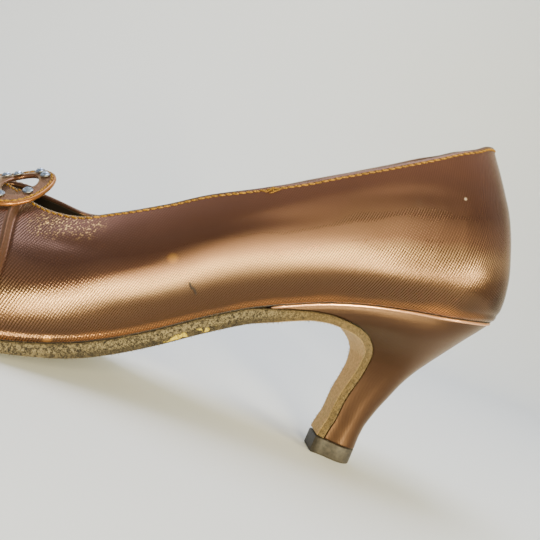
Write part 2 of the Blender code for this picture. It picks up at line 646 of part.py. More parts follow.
def make_stones():
    """Glass stones round the keyhole, on the tab's face: flat behind, with a bevelled crown and a table."""
    forward, across = tab_outline(OUTLINE_STEPS)
    bearing = outline_turn(forward, across)
    order = np.argsort(bearing)
    for k, (turn, share) in enumerate(zip(np.radians(STONES["turn"]), STONES["share"])):
        edge_forward = np.interp(turn, bearing[order], forward[order])
        edge_across = np.interp(turn, bearing[order], across[order])
        hole_forward, hole_across = keyhole_edge(turn)
        stone_forward = hole_forward + (edge_forward - hole_forward) * share
        stone_across = hole_across + (edge_across - hole_across) * share
        up = tab_normal(stone_forward, stone_across)
        seat = tab_place(stone_forward, stone_across) + up * (VAMP_STEP + 2 * GAP + TAB_THICKNESS)
        right = np.cross(up, (1, 0, 0))
        right /= np.linalg.norm(right)
        ahead = np.cross(right, up)
        verts = []
        for radius, height in ((1, 0), (1, STONE_GIRDLE), (STONE_TABLE, 1)):
            for j in range(STONE_SIDES):
                facet = 2 * np.pi * (j + 0.5) / STONE_SIDES
                spoke = np.cos(facet) * right + np.sin(facet) * ahead
                verts.append(seat + STONE_RADIUS * radius * spoke + up * STONE_HEIGHT * height)
        faces = [list(range(STONE_SIDES))[::-1], list(range(2 * STONE_SIDES, 3 * STONE_SIDES))]
        for low in (0, STONE_SIDES):
            pairs = [(j, (j + 1) % STONE_SIDES) for j in range(STONE_SIDES)]
            faces += [(low + a, low + b, low + STONE_SIDES + b, low + STONE_SIDES + a) for a, b in pairs]
        new_object(f"stone_{k + 1}", verts, faces, smooth_shading=False)


def paint(node, name, colour, roughness):
    """A Principled material of its own for one object."""
    material = bpy.data.materials.new(name)
    material.use_nodes = True
    shader = material.node_tree.nodes["Principled BSDF"]
    shader.inputs["Base Color"].default_value = (*colour, 1)
    shader.inputs["Roughness"].default_value = roughness
    bpy.data.objects[node].data.materials.append(material)


def main():
    for old in list(bpy.data.objects):
        bpy.data.objects.remove(old)
    make_upper()
    make_insole()
    make_outsole()
    make_heel()
    make_heel_tip()
    make_tab()
    make_stones()
    paint("upper", "satin", (0.42, 0.22, 0.13), 0.35)
    paint("throat_tab", "satin_tab", (0.42, 0.22, 0.13), 0.35)
    paint("insole", "lining", (0.45, 0.33, 0.24), 0.8)
    paint("outsole", "suede", (0.30, 0.24, 0.16), 0.95)
    paint("heel", "heel_cover", (0.36, 0.18, 0.10), 0.45)
    paint("heel_tip", "top_piece", (0.05, 0.045, 0.04), 0.6)
    for k in range(len(STONE_ROWS)):
        paint(f"stone_{k + 1}", f"glass_stone_{k + 1}", (0.75, 0.82, 0.95), 0.05)


main()
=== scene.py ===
"""Satin court dance shoe for the left foot, finished for the render.

The heel points to +X, the toe to -X and the outer side to -Y. The origin is on the floor, at the centre of
the heel's tip. "ahead" is the distance from the back of the seat towards the toe. Lengths are in metres.
"""

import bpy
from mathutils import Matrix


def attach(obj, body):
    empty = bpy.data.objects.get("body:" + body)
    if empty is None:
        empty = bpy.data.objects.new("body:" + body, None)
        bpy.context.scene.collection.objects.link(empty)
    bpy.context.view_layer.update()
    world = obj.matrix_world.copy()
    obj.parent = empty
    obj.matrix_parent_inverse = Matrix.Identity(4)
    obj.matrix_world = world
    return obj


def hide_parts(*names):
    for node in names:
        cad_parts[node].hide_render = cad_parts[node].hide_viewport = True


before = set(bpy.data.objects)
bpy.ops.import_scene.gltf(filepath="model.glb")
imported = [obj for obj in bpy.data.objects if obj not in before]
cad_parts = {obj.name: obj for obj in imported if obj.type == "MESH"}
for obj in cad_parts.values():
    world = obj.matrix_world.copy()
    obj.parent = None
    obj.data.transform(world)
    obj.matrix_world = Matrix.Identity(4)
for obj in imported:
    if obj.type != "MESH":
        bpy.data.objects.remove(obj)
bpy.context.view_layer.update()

import bmesh
import bpy
import numpy as np
from mathutils import Matrix

# The studio: a camera at the photo's angle to the shoe, a floor that curves up behind it into a pale wall,
# a long softbox that draws one bright band along the satin, and soft fill from above and behind.
CAMERA_AT = (-0.08666, -0.26461, 0.05865)
CAMERA_YAW = -9.0
CAMERA_DOWN = 1.5
CAMERA_ROLL = -22.7
LENS_MM = 53.33
SHIFT_UP = -0.0028
FLOOR_SIZE = 3.0
WALL_AWAY = 0.55
WALL_BEND = 0.40
WALL_HEIGHT = 2.2

FLOOR_COLOUR = "#e2e8ec"
SKY_COLOUR = "#dfe6f2"
SHADE_COLOUR = "#434449"
SKY_STRENGTH = 0.70
SKY_TOWARDS = (0.0, 0.75, 0.66)
# name, place, aimed at, turn about its own axis in degrees, width, height, power in watts, colour
SOFTBOXES = (
    ("band_softbox", (0.064, -0.933, 0.195), (-0.05, 0.0, 0.06), -62.0, 0.54, 0.05, 21.0, "#ffedb8"),
    ("top_softbox", (-0.20, 0.25, 1.10), (-0.06, 0.20, 0.0), 0.0, 0.90, 0.60, 13.0, "#eef0ff"),
    ("corner_softbox", (0.600, -0.686, 0.225), (0.005, -0.025, 0.078), 22.0, 0.52, 0.05, 13.0, "#ffedb8"),
)


def linear(colour):
    """An sRGB hex colour as linear red, green, blue and alpha: the standard curve, with its straight foot."""
    channels = np.array([int(colour[k:k + 2], 16) for k in (1, 3, 5)]) / 255
    curved = np.where(channels <= 0.04045, channels / 12.92, ((channels + 0.055) / 1.055) ** 2.4)
    return (*curved, 1.0)


def join(tree, source, socket):
    """Links an output to a socket. A node stands for its first output in use."""
    if isinstance(source, bpy.types.Node):
        source = next(output for output in source.outputs if output.enabled)
    tree.links.new(source, socket)


def add(tree, kind, links=(), **settings):
    """Adds one shader node. Settings named in_SOCKET go to its inputs, by name or number, as the links do."""
    made = tree.nodes.new("ShaderNode" + kind)
    for name, value in settings.items():
        key = name[3:].replace("_", " ")
        if name.startswith("in_"):
            made.inputs[int(key) if key.isdigit() else key].default_value = value
        else:
            setattr(made, name, value)
    for source, socket in links:
        join(tree, source, made.inputs[socket])
    return made


def place(piece, *materials):
    """Links a piece to the scene and gives it its materials."""
    bpy.context.scene.collection.objects.link(piece)
    for material in materials:
        piece.data.materials.append(material)
    return piece


def paint(name, **settings):
    """A new node material and its tree, with the shader, set as told, and the Object coordinates."""
    material = bpy.data.materials.new(name)
    material.use_nodes = True
    tree = material.node_tree
    shader = tree.nodes["Principled BSDF"]
    for socket, value in settings.items():
        shader.inputs[socket.replace("_", " ")].default_value = value
    return material, tree, shader, add(tree, "TexCoord").outputs["Object"]


def grid_faces(rows, columns):
    """Quads of a grid: each joins a point to the next in its row and to their neighbours in the next row."""
    k = np.arange(rows * columns).reshape(rows, columns)
    return np.stack([k[:-1, :-1], k[:-1, 1:], k[1:, 1:], k[1:, :-1]], axis=-1).reshape(-1, 4)


def grid_piece(name, points, cloth=None, place_map=None, flip=False, merge=1e-5):
    """A smooth mesh piece from a grid of points, with points that coincide, at a pole or closed seam, merged.

    The cloth map runs in metres along the weave. The place map gives shares of the piece's length and height.
    """
    faces = grid_faces(*points.shape[:2])
    if flip:
        faces = faces[:, ::-1]
    mesh = bpy.data.meshes.new(name)
    mesh.from_pydata(points.reshape(-1, 3).tolist(), [], faces.tolist())
    for label, values in (("cloth", cloth), ("place", place_map)):
        if values is not None:
            layer = mesh.uv_layers.new(name=label)
            spread = values.reshape(-1, 2)[faces.reshape(-1)].astype(np.float32)
            layer.data.foreach_set("uv", spread.reshape(-1))
    work = bmesh.new()
    work.from_mesh(mesh)
    bmesh.ops.remove_doubles(work, verts=work.verts, dist=merge)
    bmesh.ops.dissolve_degenerate(work, edges=work.edges, dist=merge)
    work.to_mesh(mesh)
    work.free()
    mesh.shade_smooth()
    return bpy.data.objects.new(name, mesh)


sweep = np.linspace(0, 0.5 * np.pi, 24)
floor_away = np.concatenate([[-FLOOR_SIZE], WALL_AWAY + WALL_BEND * np.sin(sweep), [WALL_AWAY + WALL_BEND]])
floor_up = np.concatenate([[0], WALL_BEND * (1 - np.cos(sweep)), [WALL_HEIGHT]])
floor_wide = np.linspace(-FLOOR_SIZE, FLOOR_SIZE, 3)
floor_points = np.stack(np.broadcast_arrays(floor_wide[None, :], floor_away[:, None], floor_up[:, None]),
                        axis=-1)
# Seamless paper: matt and pale, so that it takes a soft shadow and gives back no gloss.
paper = paint("matt_backdrop_paper", Base_Color=linear(FLOOR_COLOUR), Roughness=0.75)[0]
backdrop = place(grid_piece("backdrop", floor_points, flip=True), paper)

world = bpy.data.worlds.new("studio")
world.use_nodes = True
sky = world.node_tree.nodes["Background"]
sky.inputs["Strength"].default_value = SKY_STRENGTH
direction = add(world.node_tree, "TexCoord")
facing = add(world.node_tree, "VectorMath", [(direction.outputs["Generated"], 0)], operation="DOT_PRODUCT",
             in_1=SKY_TOWARDS)
bright = add(world.node_tree, "MapRange", [(facing, "Value")], in_From_Min=-0.55, in_From_Max=0.55)
sky_mix = add(world.node_tree, "Mix", [(bright, 0)], data_type="RGBA", in_6=linear(SHADE_COLOUR),
              in_7=linear(SKY_COLOUR))
join(world.node_tree, sky_mix, sky.inputs["Color"])
bpy.context.scene.world = world
for name, at, aim, slant, wide, high, power, colour in SOFTBOXES:
    light = bpy.data.lights.new(name, "AREA")
    light.shape, light.size, light.size_y = "RECTANGLE", wide, high
    light.energy, light.color = power, linear(colour)[:3]
    box = bpy.data.objects.new(name, light)
    away = np.subtract(at, aim)
    heading, lift = np.arctan2(away[0], -away[1]), np.arctan2(away[2], np.hypot(away[0], away[1]))
    box.matrix_world = (Matrix.Translation(at) @ Matrix.Rotation(heading, 4, "Z")
                        @ Matrix.Rotation(0.5 * np.pi - lift, 4, "X")
                        @ Matrix.Rotation(np.radians(slant), 4, "Z"))
    bpy.context.scene.collection.objects.link(box)

camera_data = bpy.data.cameras.new("camera")
camera_data.lens, camera_data.sensor_width = LENS_MM, 36.0
camera_data.shift_y = SHIFT_UP
camera_data.clip_start = 0.01
camera = bpy.data.objects.new("camera", camera_data)
camera.matrix_world = (Matrix.Translation(CAMERA_AT) @ Matrix.Rotation(np.radians(CAMERA_YAW), 4, "Z")
                       @ Matrix.Rotation(np.radians(90 - CAMERA_DOWN), 4, "X")
                       @ Matrix.Rotation(np.radians(-CAMERA_ROLL), 4, "Z"))
bpy.context.scene.collection.objects.link(camera)
bpy.context.scene.camera = camera

# The upper: satin quarters and vamp, pulled over the last with a stiff counter behind. The vamp's edge is
# folded over a cord and sewn on the quarters, and the top edge is folded in and stitched.
LENGTH = 0.236
BALL_WIDTH = 0.0775
WAIST_WIDTH = 0.0415
SEAT_WIDTH = 0.0520
HEEL_HEIGHT = 0.0640
INSTEP_HEIGHT = 0.0450
TOE_HEIGHT = 0.0215
TOE_SPRING = 0.0055
BACK_HEIGHT = 0.0540
SIDE_HEIGHT = 0.0435
THROAT_AHEAD = 0.1700
THROAT_LENGTH = 0.0270
UPPER_WALL = 0.0018
SATIN_LAYER = 0.0012
VAMP_STEP = 0.0011
SEAM_AHEAD = 0.1565
SEAM_LEAN = 0.0074
SOLE_THICKNESS = 0.0034
GAP = 0.0003
OUTER, INNER = -1, 1

HEEL_ROUND = 0.5 * SEAT_WIDTH
TOE_ROUND = 0.34 * LENGTH
TOE_POWER = 1.9
TOE_SWING = 0.040 * BALL_WIDTH
TOE_FRONT = 0.70 * TOE_HEIGHT
LEAN_FADES_AT = 0.35
TUCK_HEIGHT = 0.42
TUCK_SHARE = 0.70
SEAM_REACH = 0.20

# The last from heel to toe, in shares: its bottom's rise and toe spring, the outer side's part of the width,
# each side's tuck, the heights over seat, instep and toe, the ridge's shift, and the section's fullness.
LAST_COLUMNS = ("along", "rise", "spring", "outer", "tuck_out", "tuck_in",
                "cone", "instep", "toe", "ridge_side", "fullness")
LAST_ROWS = (
    (0.00, 1.000, 0.00, 0.500, 0.060, 0.060, 1.32, 0.00, 0.00, 0.000, 2.05),
    (0.05, 0.966, 0.00, 0.500, 0.065, 0.065, 1.32, 0.00, 0.00, 0.000, 2.05),
    (0.10, 0.925, 0.00, 0.500, 0.070, 0.070, 1.32, 0.00, 0.00, 0.000, 2.05),
    (0.15, 0.884, 0.00, 0.503, 0.080, 0.080, 1.31, 0.00, 0.00, 0.004, 2.05),
    (0.20, 0.834, 0.00, 0.512, 0.090, 0.095, 1.29, 0.00, 0.00, 0.008, 2.05),
    (0.25, 0.767, 0.00, 0.528, 0.100, 0.125, 1.26, 0.00, 0.00, 0.014, 2.05),
    (0.30, 0.678, 0.00, 0.548, 0.110, 0.160, 1.23, 0.00, 0.00, 0.020, 2.00),
    (0.35, 0.574, 0.00, 0.575, 0.115, 0.185, 1.19, 0.00, 0.00, 0.028, 2.00),
    (0.40, 0.446, 0.00, 0.592, 0.115, 0.190, 1.10, 0.08, 0.00, 0.042, 1.95),
    (0.45, 0.310, 0.00, 0.592, 0.105, 0.170, 0.90, 0.26, 0.00, 0.060, 1.90),
    (0.50, 0.194, 0.00, 0.578, 0.090, 0.130, 0.62, 0.52, 0.00, 0.078, 1.85),
    (0.55, 0.107, 0.00, 0.560, 0.078, 0.095, 0.34, 0.76, 0.00, 0.094, 1.80),
    (0.60, 0.049, 0.00, 0.543, 0.070, 0.075, 0.12, 0.94, 0.00, 0.108, 1.75),
    (0.65, 0.011, 0.00, 0.530, 0.065, 0.065, 0.00, 1.00, 0.00, 0.118, 1.72),
    (0.70, 0.000, 0.00, 0.518, 0.060, 0.060, 0.00, 0.92, 0.00, 0.120, 1.72),
    (0.75, 0.000, 0.00, 0.508, 0.058, 0.058, 0.00, 0.72, 0.18, 0.112, 1.80),
    (0.81, 0.000, 0.12, 0.500, 0.055, 0.055, 0.00, 0.42, 0.52, 0.094, 1.92),
    (0.87, 0.000, 0.35, 0.500, 0.050, 0.050, 0.00, 0.18, 0.80, 0.072, 2.05),
    (0.93, 0.000, 0.65, 0.500, 0.045, 0.045, 0.00, 0.05, 0.95, 0.054, 2.15),
    (1.00, 0.000, 1.00, 0.500, 0.040, 0.040, 0.00, 0.00, 0.96, 0.040, 2.20),
)
BACK_COLUMNS = ("up", "ahead")
BACK_ROWS = ((0.00, 0.000), (0.08, -0.019), (0.25, 0.004), (0.45, 0.067), (0.65, 0.160), (0.85, 0.300),
             (1.00, 0.410), (1.50, 0.640))
EDGE_COLUMNS = ("along", "back", "side", "inner_extra")
EDGE_ROWS = ((0.00, 1.00, 0.00, 0.00), (0.03, 0.980, 0.00, 0.00), (0.06, 0.945, 0.00, 0.00),
             (0.10, 0.915, 0.00, 0.00), (0.15, 0.60, 0.335, 0.00), (0.20, 0.30, 0.660, 0.00),
             (0.25, 0.10, 0.870, 0.00), (0.30, 0.00, 0.972, 0.00), (0.35, 0.00, 0.948, 0.00),
             (0.40, 0.00, 0.966, -0.01), (0.45, 0.00, 0.997, -0.02), (0.50, 0.00, 0.966, -0.03),
             (0.55, 0.00, 0.916, -0.03), (0.60, 0.00, 0.856, 0.00), (0.65, 0.00, 0.850, 0.06),
             (0.72, 0.00, 0.850, 0.08), (1.00, 0.00, 0.850, 0.08))
LAST = dict(zip(LAST_COLUMNS, np.array(LAST_ROWS).T))
BACK = dict(zip(BACK_COLUMNS, np.array(BACK_ROWS).T))
EDGE = dict(zip(EDGE_COLUMNS, np.array(EDGE_ROWS).T))
HEEL_TIP_CENTRE = 0.425 * 0.0760


def smooth(at, knots, values):
    """A monotone cubic curve through the knots: it never overshoots, and it is flat between equal values."""
    knots, values = np.asarray(knots, float), np.asarray(values, float)
    step = np.diff(knots)
    slope = np.diff(values) / step
    tangent = np.zeros(len(knots))
    tangent[0], tangent[-1] = slope[0], slope[-1]
    same = slope[:-1] * slope[1:] > 0
    left, right = step[1:] + 2 * step[:-1], step[:-1] + 2 * step[1:]
    inside = np.zeros(len(slope) - 1)
    np.divide(left + right, left / np.where(same, slope[1:], 1) + right / np.where(same, slope[:-1], 1),
              out=inside, where=same)
    tangent[1:-1] = inside
    at = np.clip(np.asarray(at, float), knots[0], knots[-1])
    k = np.clip(np.searchsorted(knots, at, side="right") - 1, 0, len(step) - 1)
    t = (at - knots[k]) / step[k]
    rest = 1 - t
    return (values[k] * (1 + 2 * t) * rest ** 2 + values[k + 1] * t ** 2 * (3 - 2 * t)
            + step[k] * t * rest * (tangent[k] * rest - tangent[k + 1] * t))


def ease(t):
    """Runs smoothly from 0 to 1 as t does."""
    t = np.clip(t, 0, 1)
    return t * t * (3 - 2 * t)


def world_point(ahead, side, up):
    """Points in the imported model's frame from the distance ahead of the seat's back, side and height."""
    ahead, side, up = np.broadcast_arrays(np.asarray(ahead, float), side, up)
    return np.stack([HEEL_TIP_CENTRE - ahead, side, up], axis=-1)


def of_last(name, ahead):
    """One column of the last's table at a distance ahead."""
    return smooth(np.asarray(ahead, float) / LENGTH, LAST["along"], LAST[name])


def bottom_height(ahead):
    """Height of the last's bottom edge: the heel's rise and the toe spring, each times its share."""
    under = SOLE_THICKNESS + GAP
    return under + (HEEL_HEIGHT - under) * of_last("rise", ahead) + TOE_SPRING * of_last("spring", ahead)


def plan_cap(ahead):
    """Closes the plan: a quarter circle behind, a superellipse for the almond toe, and 1 between them."""
    heel = np.clip(ahead / HEEL_ROUND, 0, 1)
    toe = np.clip((LENGTH - ahead) / TOE_ROUND, 0, 1)
    return np.sqrt(1 - (1 - heel) ** 2) * (1 - (1 - toe) ** TOE_POWER) ** (1 / TOE_POWER)


def centre_line(ahead):
    """The toe swings smoothly towards the inner side."""
    return TOE_SWING * ease((np.asarray(ahead, float) / LENGTH - 0.55) / 0.45)


def bottom_half_width(ahead, side):
    """The last's width at a distance ahead, times that side's share of it."""
    along = np.asarray(ahead, float) / LENGTH
    width = smooth(along, (0, 0.12, 0.385, 0.70, 1.0),
                   (SEAT_WIDTH, SEAT_WIDTH, WAIST_WIDTH, BALL_WIDTH, BALL_WIDTH))
    outer = of_last("outer", ahead)
    return width * np.where(np.asarray(side) == OUTER, outer, 1 - outer)


def outline(side, inset):
    """The last's bottom edge on one side, moved inwards along its own normal by the inset."""
    ahead = LENGTH * (0.5 - 0.5 * np.cos(np.linspace(0, np.pi, 721)))
    across = centre_line(ahead) + side * bottom_half_width(ahead, side) * plan_cap(ahead)
    forward, outward = np.gradient(ahead), np.gradient(across) * side
    size = np.hypot(forward, outward)
    return ahead + inset * outward / size, across - side * inset * forward / size


def edge_at(ahead, side, inset):
    """The bottom edge's place across the shoe at some distance ahead. Both sides meet at its two ends."""
    ahead = np.asarray(ahead, float)
    along, across = outline(side, inset)
    inside = (ahead > max(along[0], inset)) & (ahead < min(along[-1], LENGTH - inset))
    return np.where(inside, np.interp(ahead, along, across), centre_line(ahead))


def ridge_height(ahead):
    """Height of the last's top over its bottom edge, rounded down at the toe by a quarter ellipse."""
    ahead = np.asarray(ahead, float)
    front = np.clip((LENGTH - ahead) / TOE_FRONT, 0, 1)
    rows = LAST["cone"] * BACK_HEIGHT + LAST["instep"] * INSTEP_HEIGHT + LAST["toe"] * TOE_HEIGHT
    return smooth(ahead / LENGTH, LAST["along"], rows) * np.sqrt(1 - (1 - front) ** 2)


def last_point(ahead, side, share):
    """A point of the last. share runs over its section, from 0 at the bottom edge to 1 at the ridge.

    Across and up follow the cosine and sine of a quarter turn, each to the power 2 / fullness. The side tucks
    in at the bottom, each level leans with the counter behind, and the sections lean with the side seam.
    """
    share = np.asarray(share, float)
    near_seam = ease(1 - np.abs(ahead - SEAM_AHEAD) / (SEAM_REACH * LENGTH))
    ahead = ahead - SEAM_LEAN * near_seam * (1 - np.sin(0.5 * np.pi * share))
    angle = 0.5 * np.pi * share
    power = 2 / of_last("fullness", ahead)
    height = ridge_height(ahead) * np.sin(angle) ** power
    tuck = SEAT_WIDTH * np.where(np.asarray(side) == OUTER, of_last("tuck_out", ahead),
                                 of_last("tuck_in", ahead))
    cap = plan_cap(ahead)
    middle = centre_line(ahead)
    ridge = middle + (BALL_WIDTH * of_last("ridge_side", ahead) - middle) * cap
    edge = middle + side * (bottom_half_width(ahead, side) + tuck) * cap
    across = ridge + (edge - ridge) * np.maximum(np.cos(angle), 0) ** power
    tucked = np.maximum(np.minimum(TUCK_HEIGHT * BACK_HEIGHT, TUCK_SHARE * ridge_height(ahead)), GAP)
    low = np.clip(1 - height / tucked, 0, 1) ** 2
    across = across - side * tuck * cap * low
    fade = 1 - ease(ahead / LENGTH / LEAN_FADES_AT)
    lean = BACK_HEIGHT * smooth(height / BACK_HEIGHT, BACK["up"], BACK["ahead"]) * fade
    return world_point(ahead + lean, across, bottom_height(ahead) + height)


def edge_share(ahead, side):
    """Where the top edge crosses the section, as a share of it: 1 in front of the throat."""
    ahead = np.asarray(ahead, float)
    along = ahead / LENGTH
    height = smooth(along, EDGE["along"], EDGE["back"] * BACK_HEIGHT + EDGE["side"] * SIDE_HEIGHT)
    extra = smooth(along, EDGE["along"], EDGE["inner_extra"]) * SIDE_HEIGHT
    height = height + np.where(np.asarray(side) == INNER, extra, 0)
    full = np.maximum(ridge_height(ahead), height / 0.985)
    rise = np.minimum(height / np.maximum(full, 1e-9), 0.985) ** (0.5 * of_last("fullness", ahead))
    open_part = np.clip((THROAT_AHEAD - ahead) / THROAT_LENGTH, 0, 1)
    across = np.sqrt(1 - rise ** 2) * np.sqrt(1 - (1 - open_part) ** 2)
    return np.arccos(np.clip(across, 0, 1)) / (0.5 * np.pi)


ROWS = 72
HEEL_STATIONS, SIDE_STATIONS, THROAT_STATIONS, VAMP_STATIONS = 30, 190, 44, 90
quarter = np.linspace(0, 0.5 * np.pi, HEEL_STATIONS)
heel_part = HEEL_ROUND * (1 - np.cos(quarter))
side_part = np.linspace(HEEL_ROUND, THROAT_AHEAD - THROAT_LENGTH, SIDE_STATIONS)[1:]
quarter = np.linspace(0, 0.5 * np.pi, THROAT_STATIONS)[1:]
throat_part = THROAT_AHEAD - THROAT_LENGTH + THROAT_LENGTH * np.sin(quarter)
quarter = np.linspace(0, 0.5 * np.pi, VAMP_STATIONS)[1:]
vamp_part = THROAT_AHEAD + (LENGTH - THROAT_AHEAD) * np.sin(quarter)
SEAM_FINE = (-0.0018, 0.0056)
seam_part = SEAM_AHEAD + np.linspace(*SEAM_FINE, 34)
half = np.concatenate([heel_part, side_part, throat_part, vamp_part])
half = np.concatenate([half[(half < seam_part[0]) | (half > seam_part[-1])], seam_part])
half = np.sort(half)
stations = np.concatenate([half[::-1], half[1:]])
sides = np.concatenate([np.full(len(half), OUTER), np.full(len(half) - 1, INNER)])
section = edge_share(stations, sides)[:, None] * np.linspace(0, 1, ROWS)[None, :]
last_grid = last_point(stations[:, None], sides[:, None], section)


def grid_normals(points):
    """Unit normals of the strip that runs from the toe, round the back, to the toe again.

    They are the cross product of its two slopes. Its two ends share the toe's point, and its two halves share
    the ridge ahead of the throat.
    """
    normal = np.cross(np.gradient(points, axis=0), np.gradient(points, axis=1))
    normal /= np.maximum(np.linalg.norm(normal, axis=-1, keepdims=True), 1e-12)
    normal *= np.sign(np.sum(normal[len(points) // 4, 5] * (0, -1, 0)))
    normal[[0, -1]] = (-1, 0, 0)
    shared = 0.5 * (normal[:, -1] + normal[::-1, -1])
    shared /= np.maximum(np.linalg.norm(shared, axis=-1, keepdims=True), 1e-12)
    normal[:, -1] = np.where((stations >= THROAT_AHEAD - 1e-9)[:, None], shared, normal[:, -1])
    return normal


last_normals = grid_normals(last_grid)
steps_along = np.linalg.norm(np.diff(last_grid, axis=0), axis=-1)
run_along = np.concatenate([np.zeros((1, ROWS)), np.cumsum(steps_along, axis=0)])
run_along = np.broadcast_to(run_along[:, ROWS // 3][:, None], run_along.shape)
steps_up = np.linalg.norm(np.diff(last_grid, axis=1), axis=-1)
run_up = np.concatenate([np.zeros((len(stations), 1)), np.cumsum(steps_up, axis=1)], axis=1)
cloth_uv = np.stack([run_along, run_up], axis=-1)
up_shares = np.broadcast_to(np.linspace(0, 1, ROWS)[None, :], run_up.shape)
upper_place = np.stack([np.broadcast_to(stations[:, None] / LENGTH, run_up.shape), up_shares], axis=-1)

CORD_HALF = 0.0010
CORD_RISE = 0.0004
CORD_STEP_SHARE = 0.35
SEAM_SWAY = 0.0018
SWAY_FROM, SWAY_OVER = 0.50, 0.32
SEAM_GROOVE = 0.0004
SEAM_GROOVE_BACK = 0.0004
SEAM_GROOVE_HALF = 0.0006
FEATHER_TURN = 0.0008
FEATHER_DEPTH = 0.0003
FEATHER_ROLL = 0.0004
FEATHER_SPREAD = 0.0008
ROLL_UP, DIP_UP = 0.0013, 0.0031
# Soft troughs (depth below 0) and swells of the satin over the counter: side, distance ahead, height up the
# cloth, half length along it, half height, how far it slants, and depth, all but the side in millimetres.
CREASES = ((OUTER, 20, 44, 26, 3.0, 0.10, -0.14), (OUTER, 44, 37, 22, 2.4, -0.08, -0.08),
           (OUTER, 46, 10, 32, 9.0, 0.00, 1.90), (OUTER, 28, 14, 16, 3.2, 0.10, -0.10),
           (OUTER, 66, 32, 24, 4.5, -0.05, -0.10), (OUTER, 98, 33, 20, 3.0, 0.12, -0.14),
           (OUTER, 122, 22, 18, 4.0, -0.15, 0.18), (OUTER, 140, 31, 14, 2.6, 0.20, -0.22),
           (OUTER, 110, 9, 26, 3.0, 0.05, -0.16), (OUTER, 186, 30, 16, 2.6, 0.25, -0.08),
           (INNER, 46, 10, 32, 9.0, 0.00, 1.90), (INNER, 24, 42, 24, 3.2, 0.08, -0.18),
           (INNER, 60, 28, 22, 4.0, 0.06, 0.22), (INNER, 104, 24, 24, 3.4, -0.10, -0.24),
           (INNER, 136, 26, 16, 3.0, 0.15, -0.20), (INNER, 184, 26, 14, 2.4, -0.20, -0.20))


def satin_relief():
    """How far the satin stands off the last.

    The vamp's step rises as a smooth step, with a cosine-squared cord under its folded edge and a groove
    behind it. At the bottom the satin turns in under a small roll. The creases are stretched bell shapes.
    """
    up_share = np.linspace(0, 1, ROWS)[None, :]
    past = stations[:, None] - SEAM_AHEAD - SEAM_SWAY * ease((up_share - SWAY_FROM) / SWAY_OVER)
    cord = np.cos(0.5 * np.pi * np.clip(past / CORD_HALF - 1, -1, 1)) ** 2
    relief = VAMP_STEP * ease(past / CORD_HALF)
    relief = relief + (CORD_RISE + CORD_STEP_SHARE * VAMP_STEP) * cord * (past < 2 * CORD_HALF)
    relief = relief - SEAM_GROOVE * np.exp(-((past + SEAM_GROOVE_BACK) / SEAM_GROOVE_HALF) ** 2)
    for side, ahead, up, long, high, slant, depth in np.array(CREASES, float):
        forward = (stations[:, None] * 1000 - ahead) / long
        level = (run_up * 1000 - up - slant * (stations[:, None] * 1000 - ahead)) / high
        relief = relief + 0.001 * depth * np.exp(-forward ** 2 - level ** 2) * (sides[:, None] == side)
    relief = relief + FEATHER_ROLL * np.exp(-((run_up - ROLL_UP) / FEATHER_SPREAD) ** 2)
    relief = relief - 0.5 * FEATHER_ROLL * np.exp(-((run_up - DIP_UP) / FEATHER_SPREAD) ** 2)
    return relief - FEATHER_DEPTH * np.exp(-(run_up / FEATHER_TURN) ** 2)


satin_grid = last_grid + last_normals * satin_relief()[..., None]
satin_grid[:, 0, 2] = last_grid[:, 0, 2]

THREAD_DARK = "#33200f"
# Over this part of the length the tones run into the one at TOE_TONE, so that they don't crowd at the toe.
TOE_TONE = 0.50
TOE_TONE_FROM, TOE_TONE_TO = 0.74, 0.90
TWILL_PITCH = 0.00082
TWILL_TURN = 22.0
FLOAT_PITCH = 0.00076
TWILL_DEPTH = 0.000034
# The dark between the floats, the weave's own gaps deepened as painted shade, shows less from one of these
# shares of the height to the other, being painted strongest low on the side where the band of gloss fades
# out.
TWILL_FADE_FROM, TWILL_FADE_TO, TWILL_LEFT = 0.38, 0.60, 0.40
# Noise cells to a metre: uneven threads of about 0.5 mm, and clouds in the dye of about 26 mm.
GRAIN_SCALE, CLOUD_SCALE = 1900.0, 38.0
WAVE_TO_PITCH = 0.314159
SATIN_METALLIC = 0.62
SATIN_IOR = 1.6
SATIN_GLINT = "#ffe4c2"
# The tones wander up and down by this share of the height, as the dye does.
TONE_WANDER = 0.16
# Share of the height, and the satin's colour there: darker low down as painted shade, a paler gold stop at
# about a third of the height as a painted highlight under the band of gloss, and mauve towards the top.
SATIN_TONES_AND_PAINTED_LIGHT = (
    (0.00, "#a8693a"), (0.035, "#805430"), (0.07, "#553a2a"), (0.14, "#4a3328"), (0.22, "#4f382b"),
    (0.36, "#8f735a"), (0.45, "#664a3e"), (0.60, "#47302a"), (0.76, "#543a33"), (1.00, "#6a4a42"),
)


def ramp(tree, factor, *stops):
    """A colour ramp through stops of position and hex colour, read at a factor."""
    made = add(tree, "ValToRGB", [(factor, "Fac")])
    elements = made.color_ramp.elements
    while len(elements) < len(stops):
        elements.new(1.0)
    for element, (position, colour) in zip(elements, stops):
        element.position, element.color = position, linear(colour)
    return made.outputs["Color"]


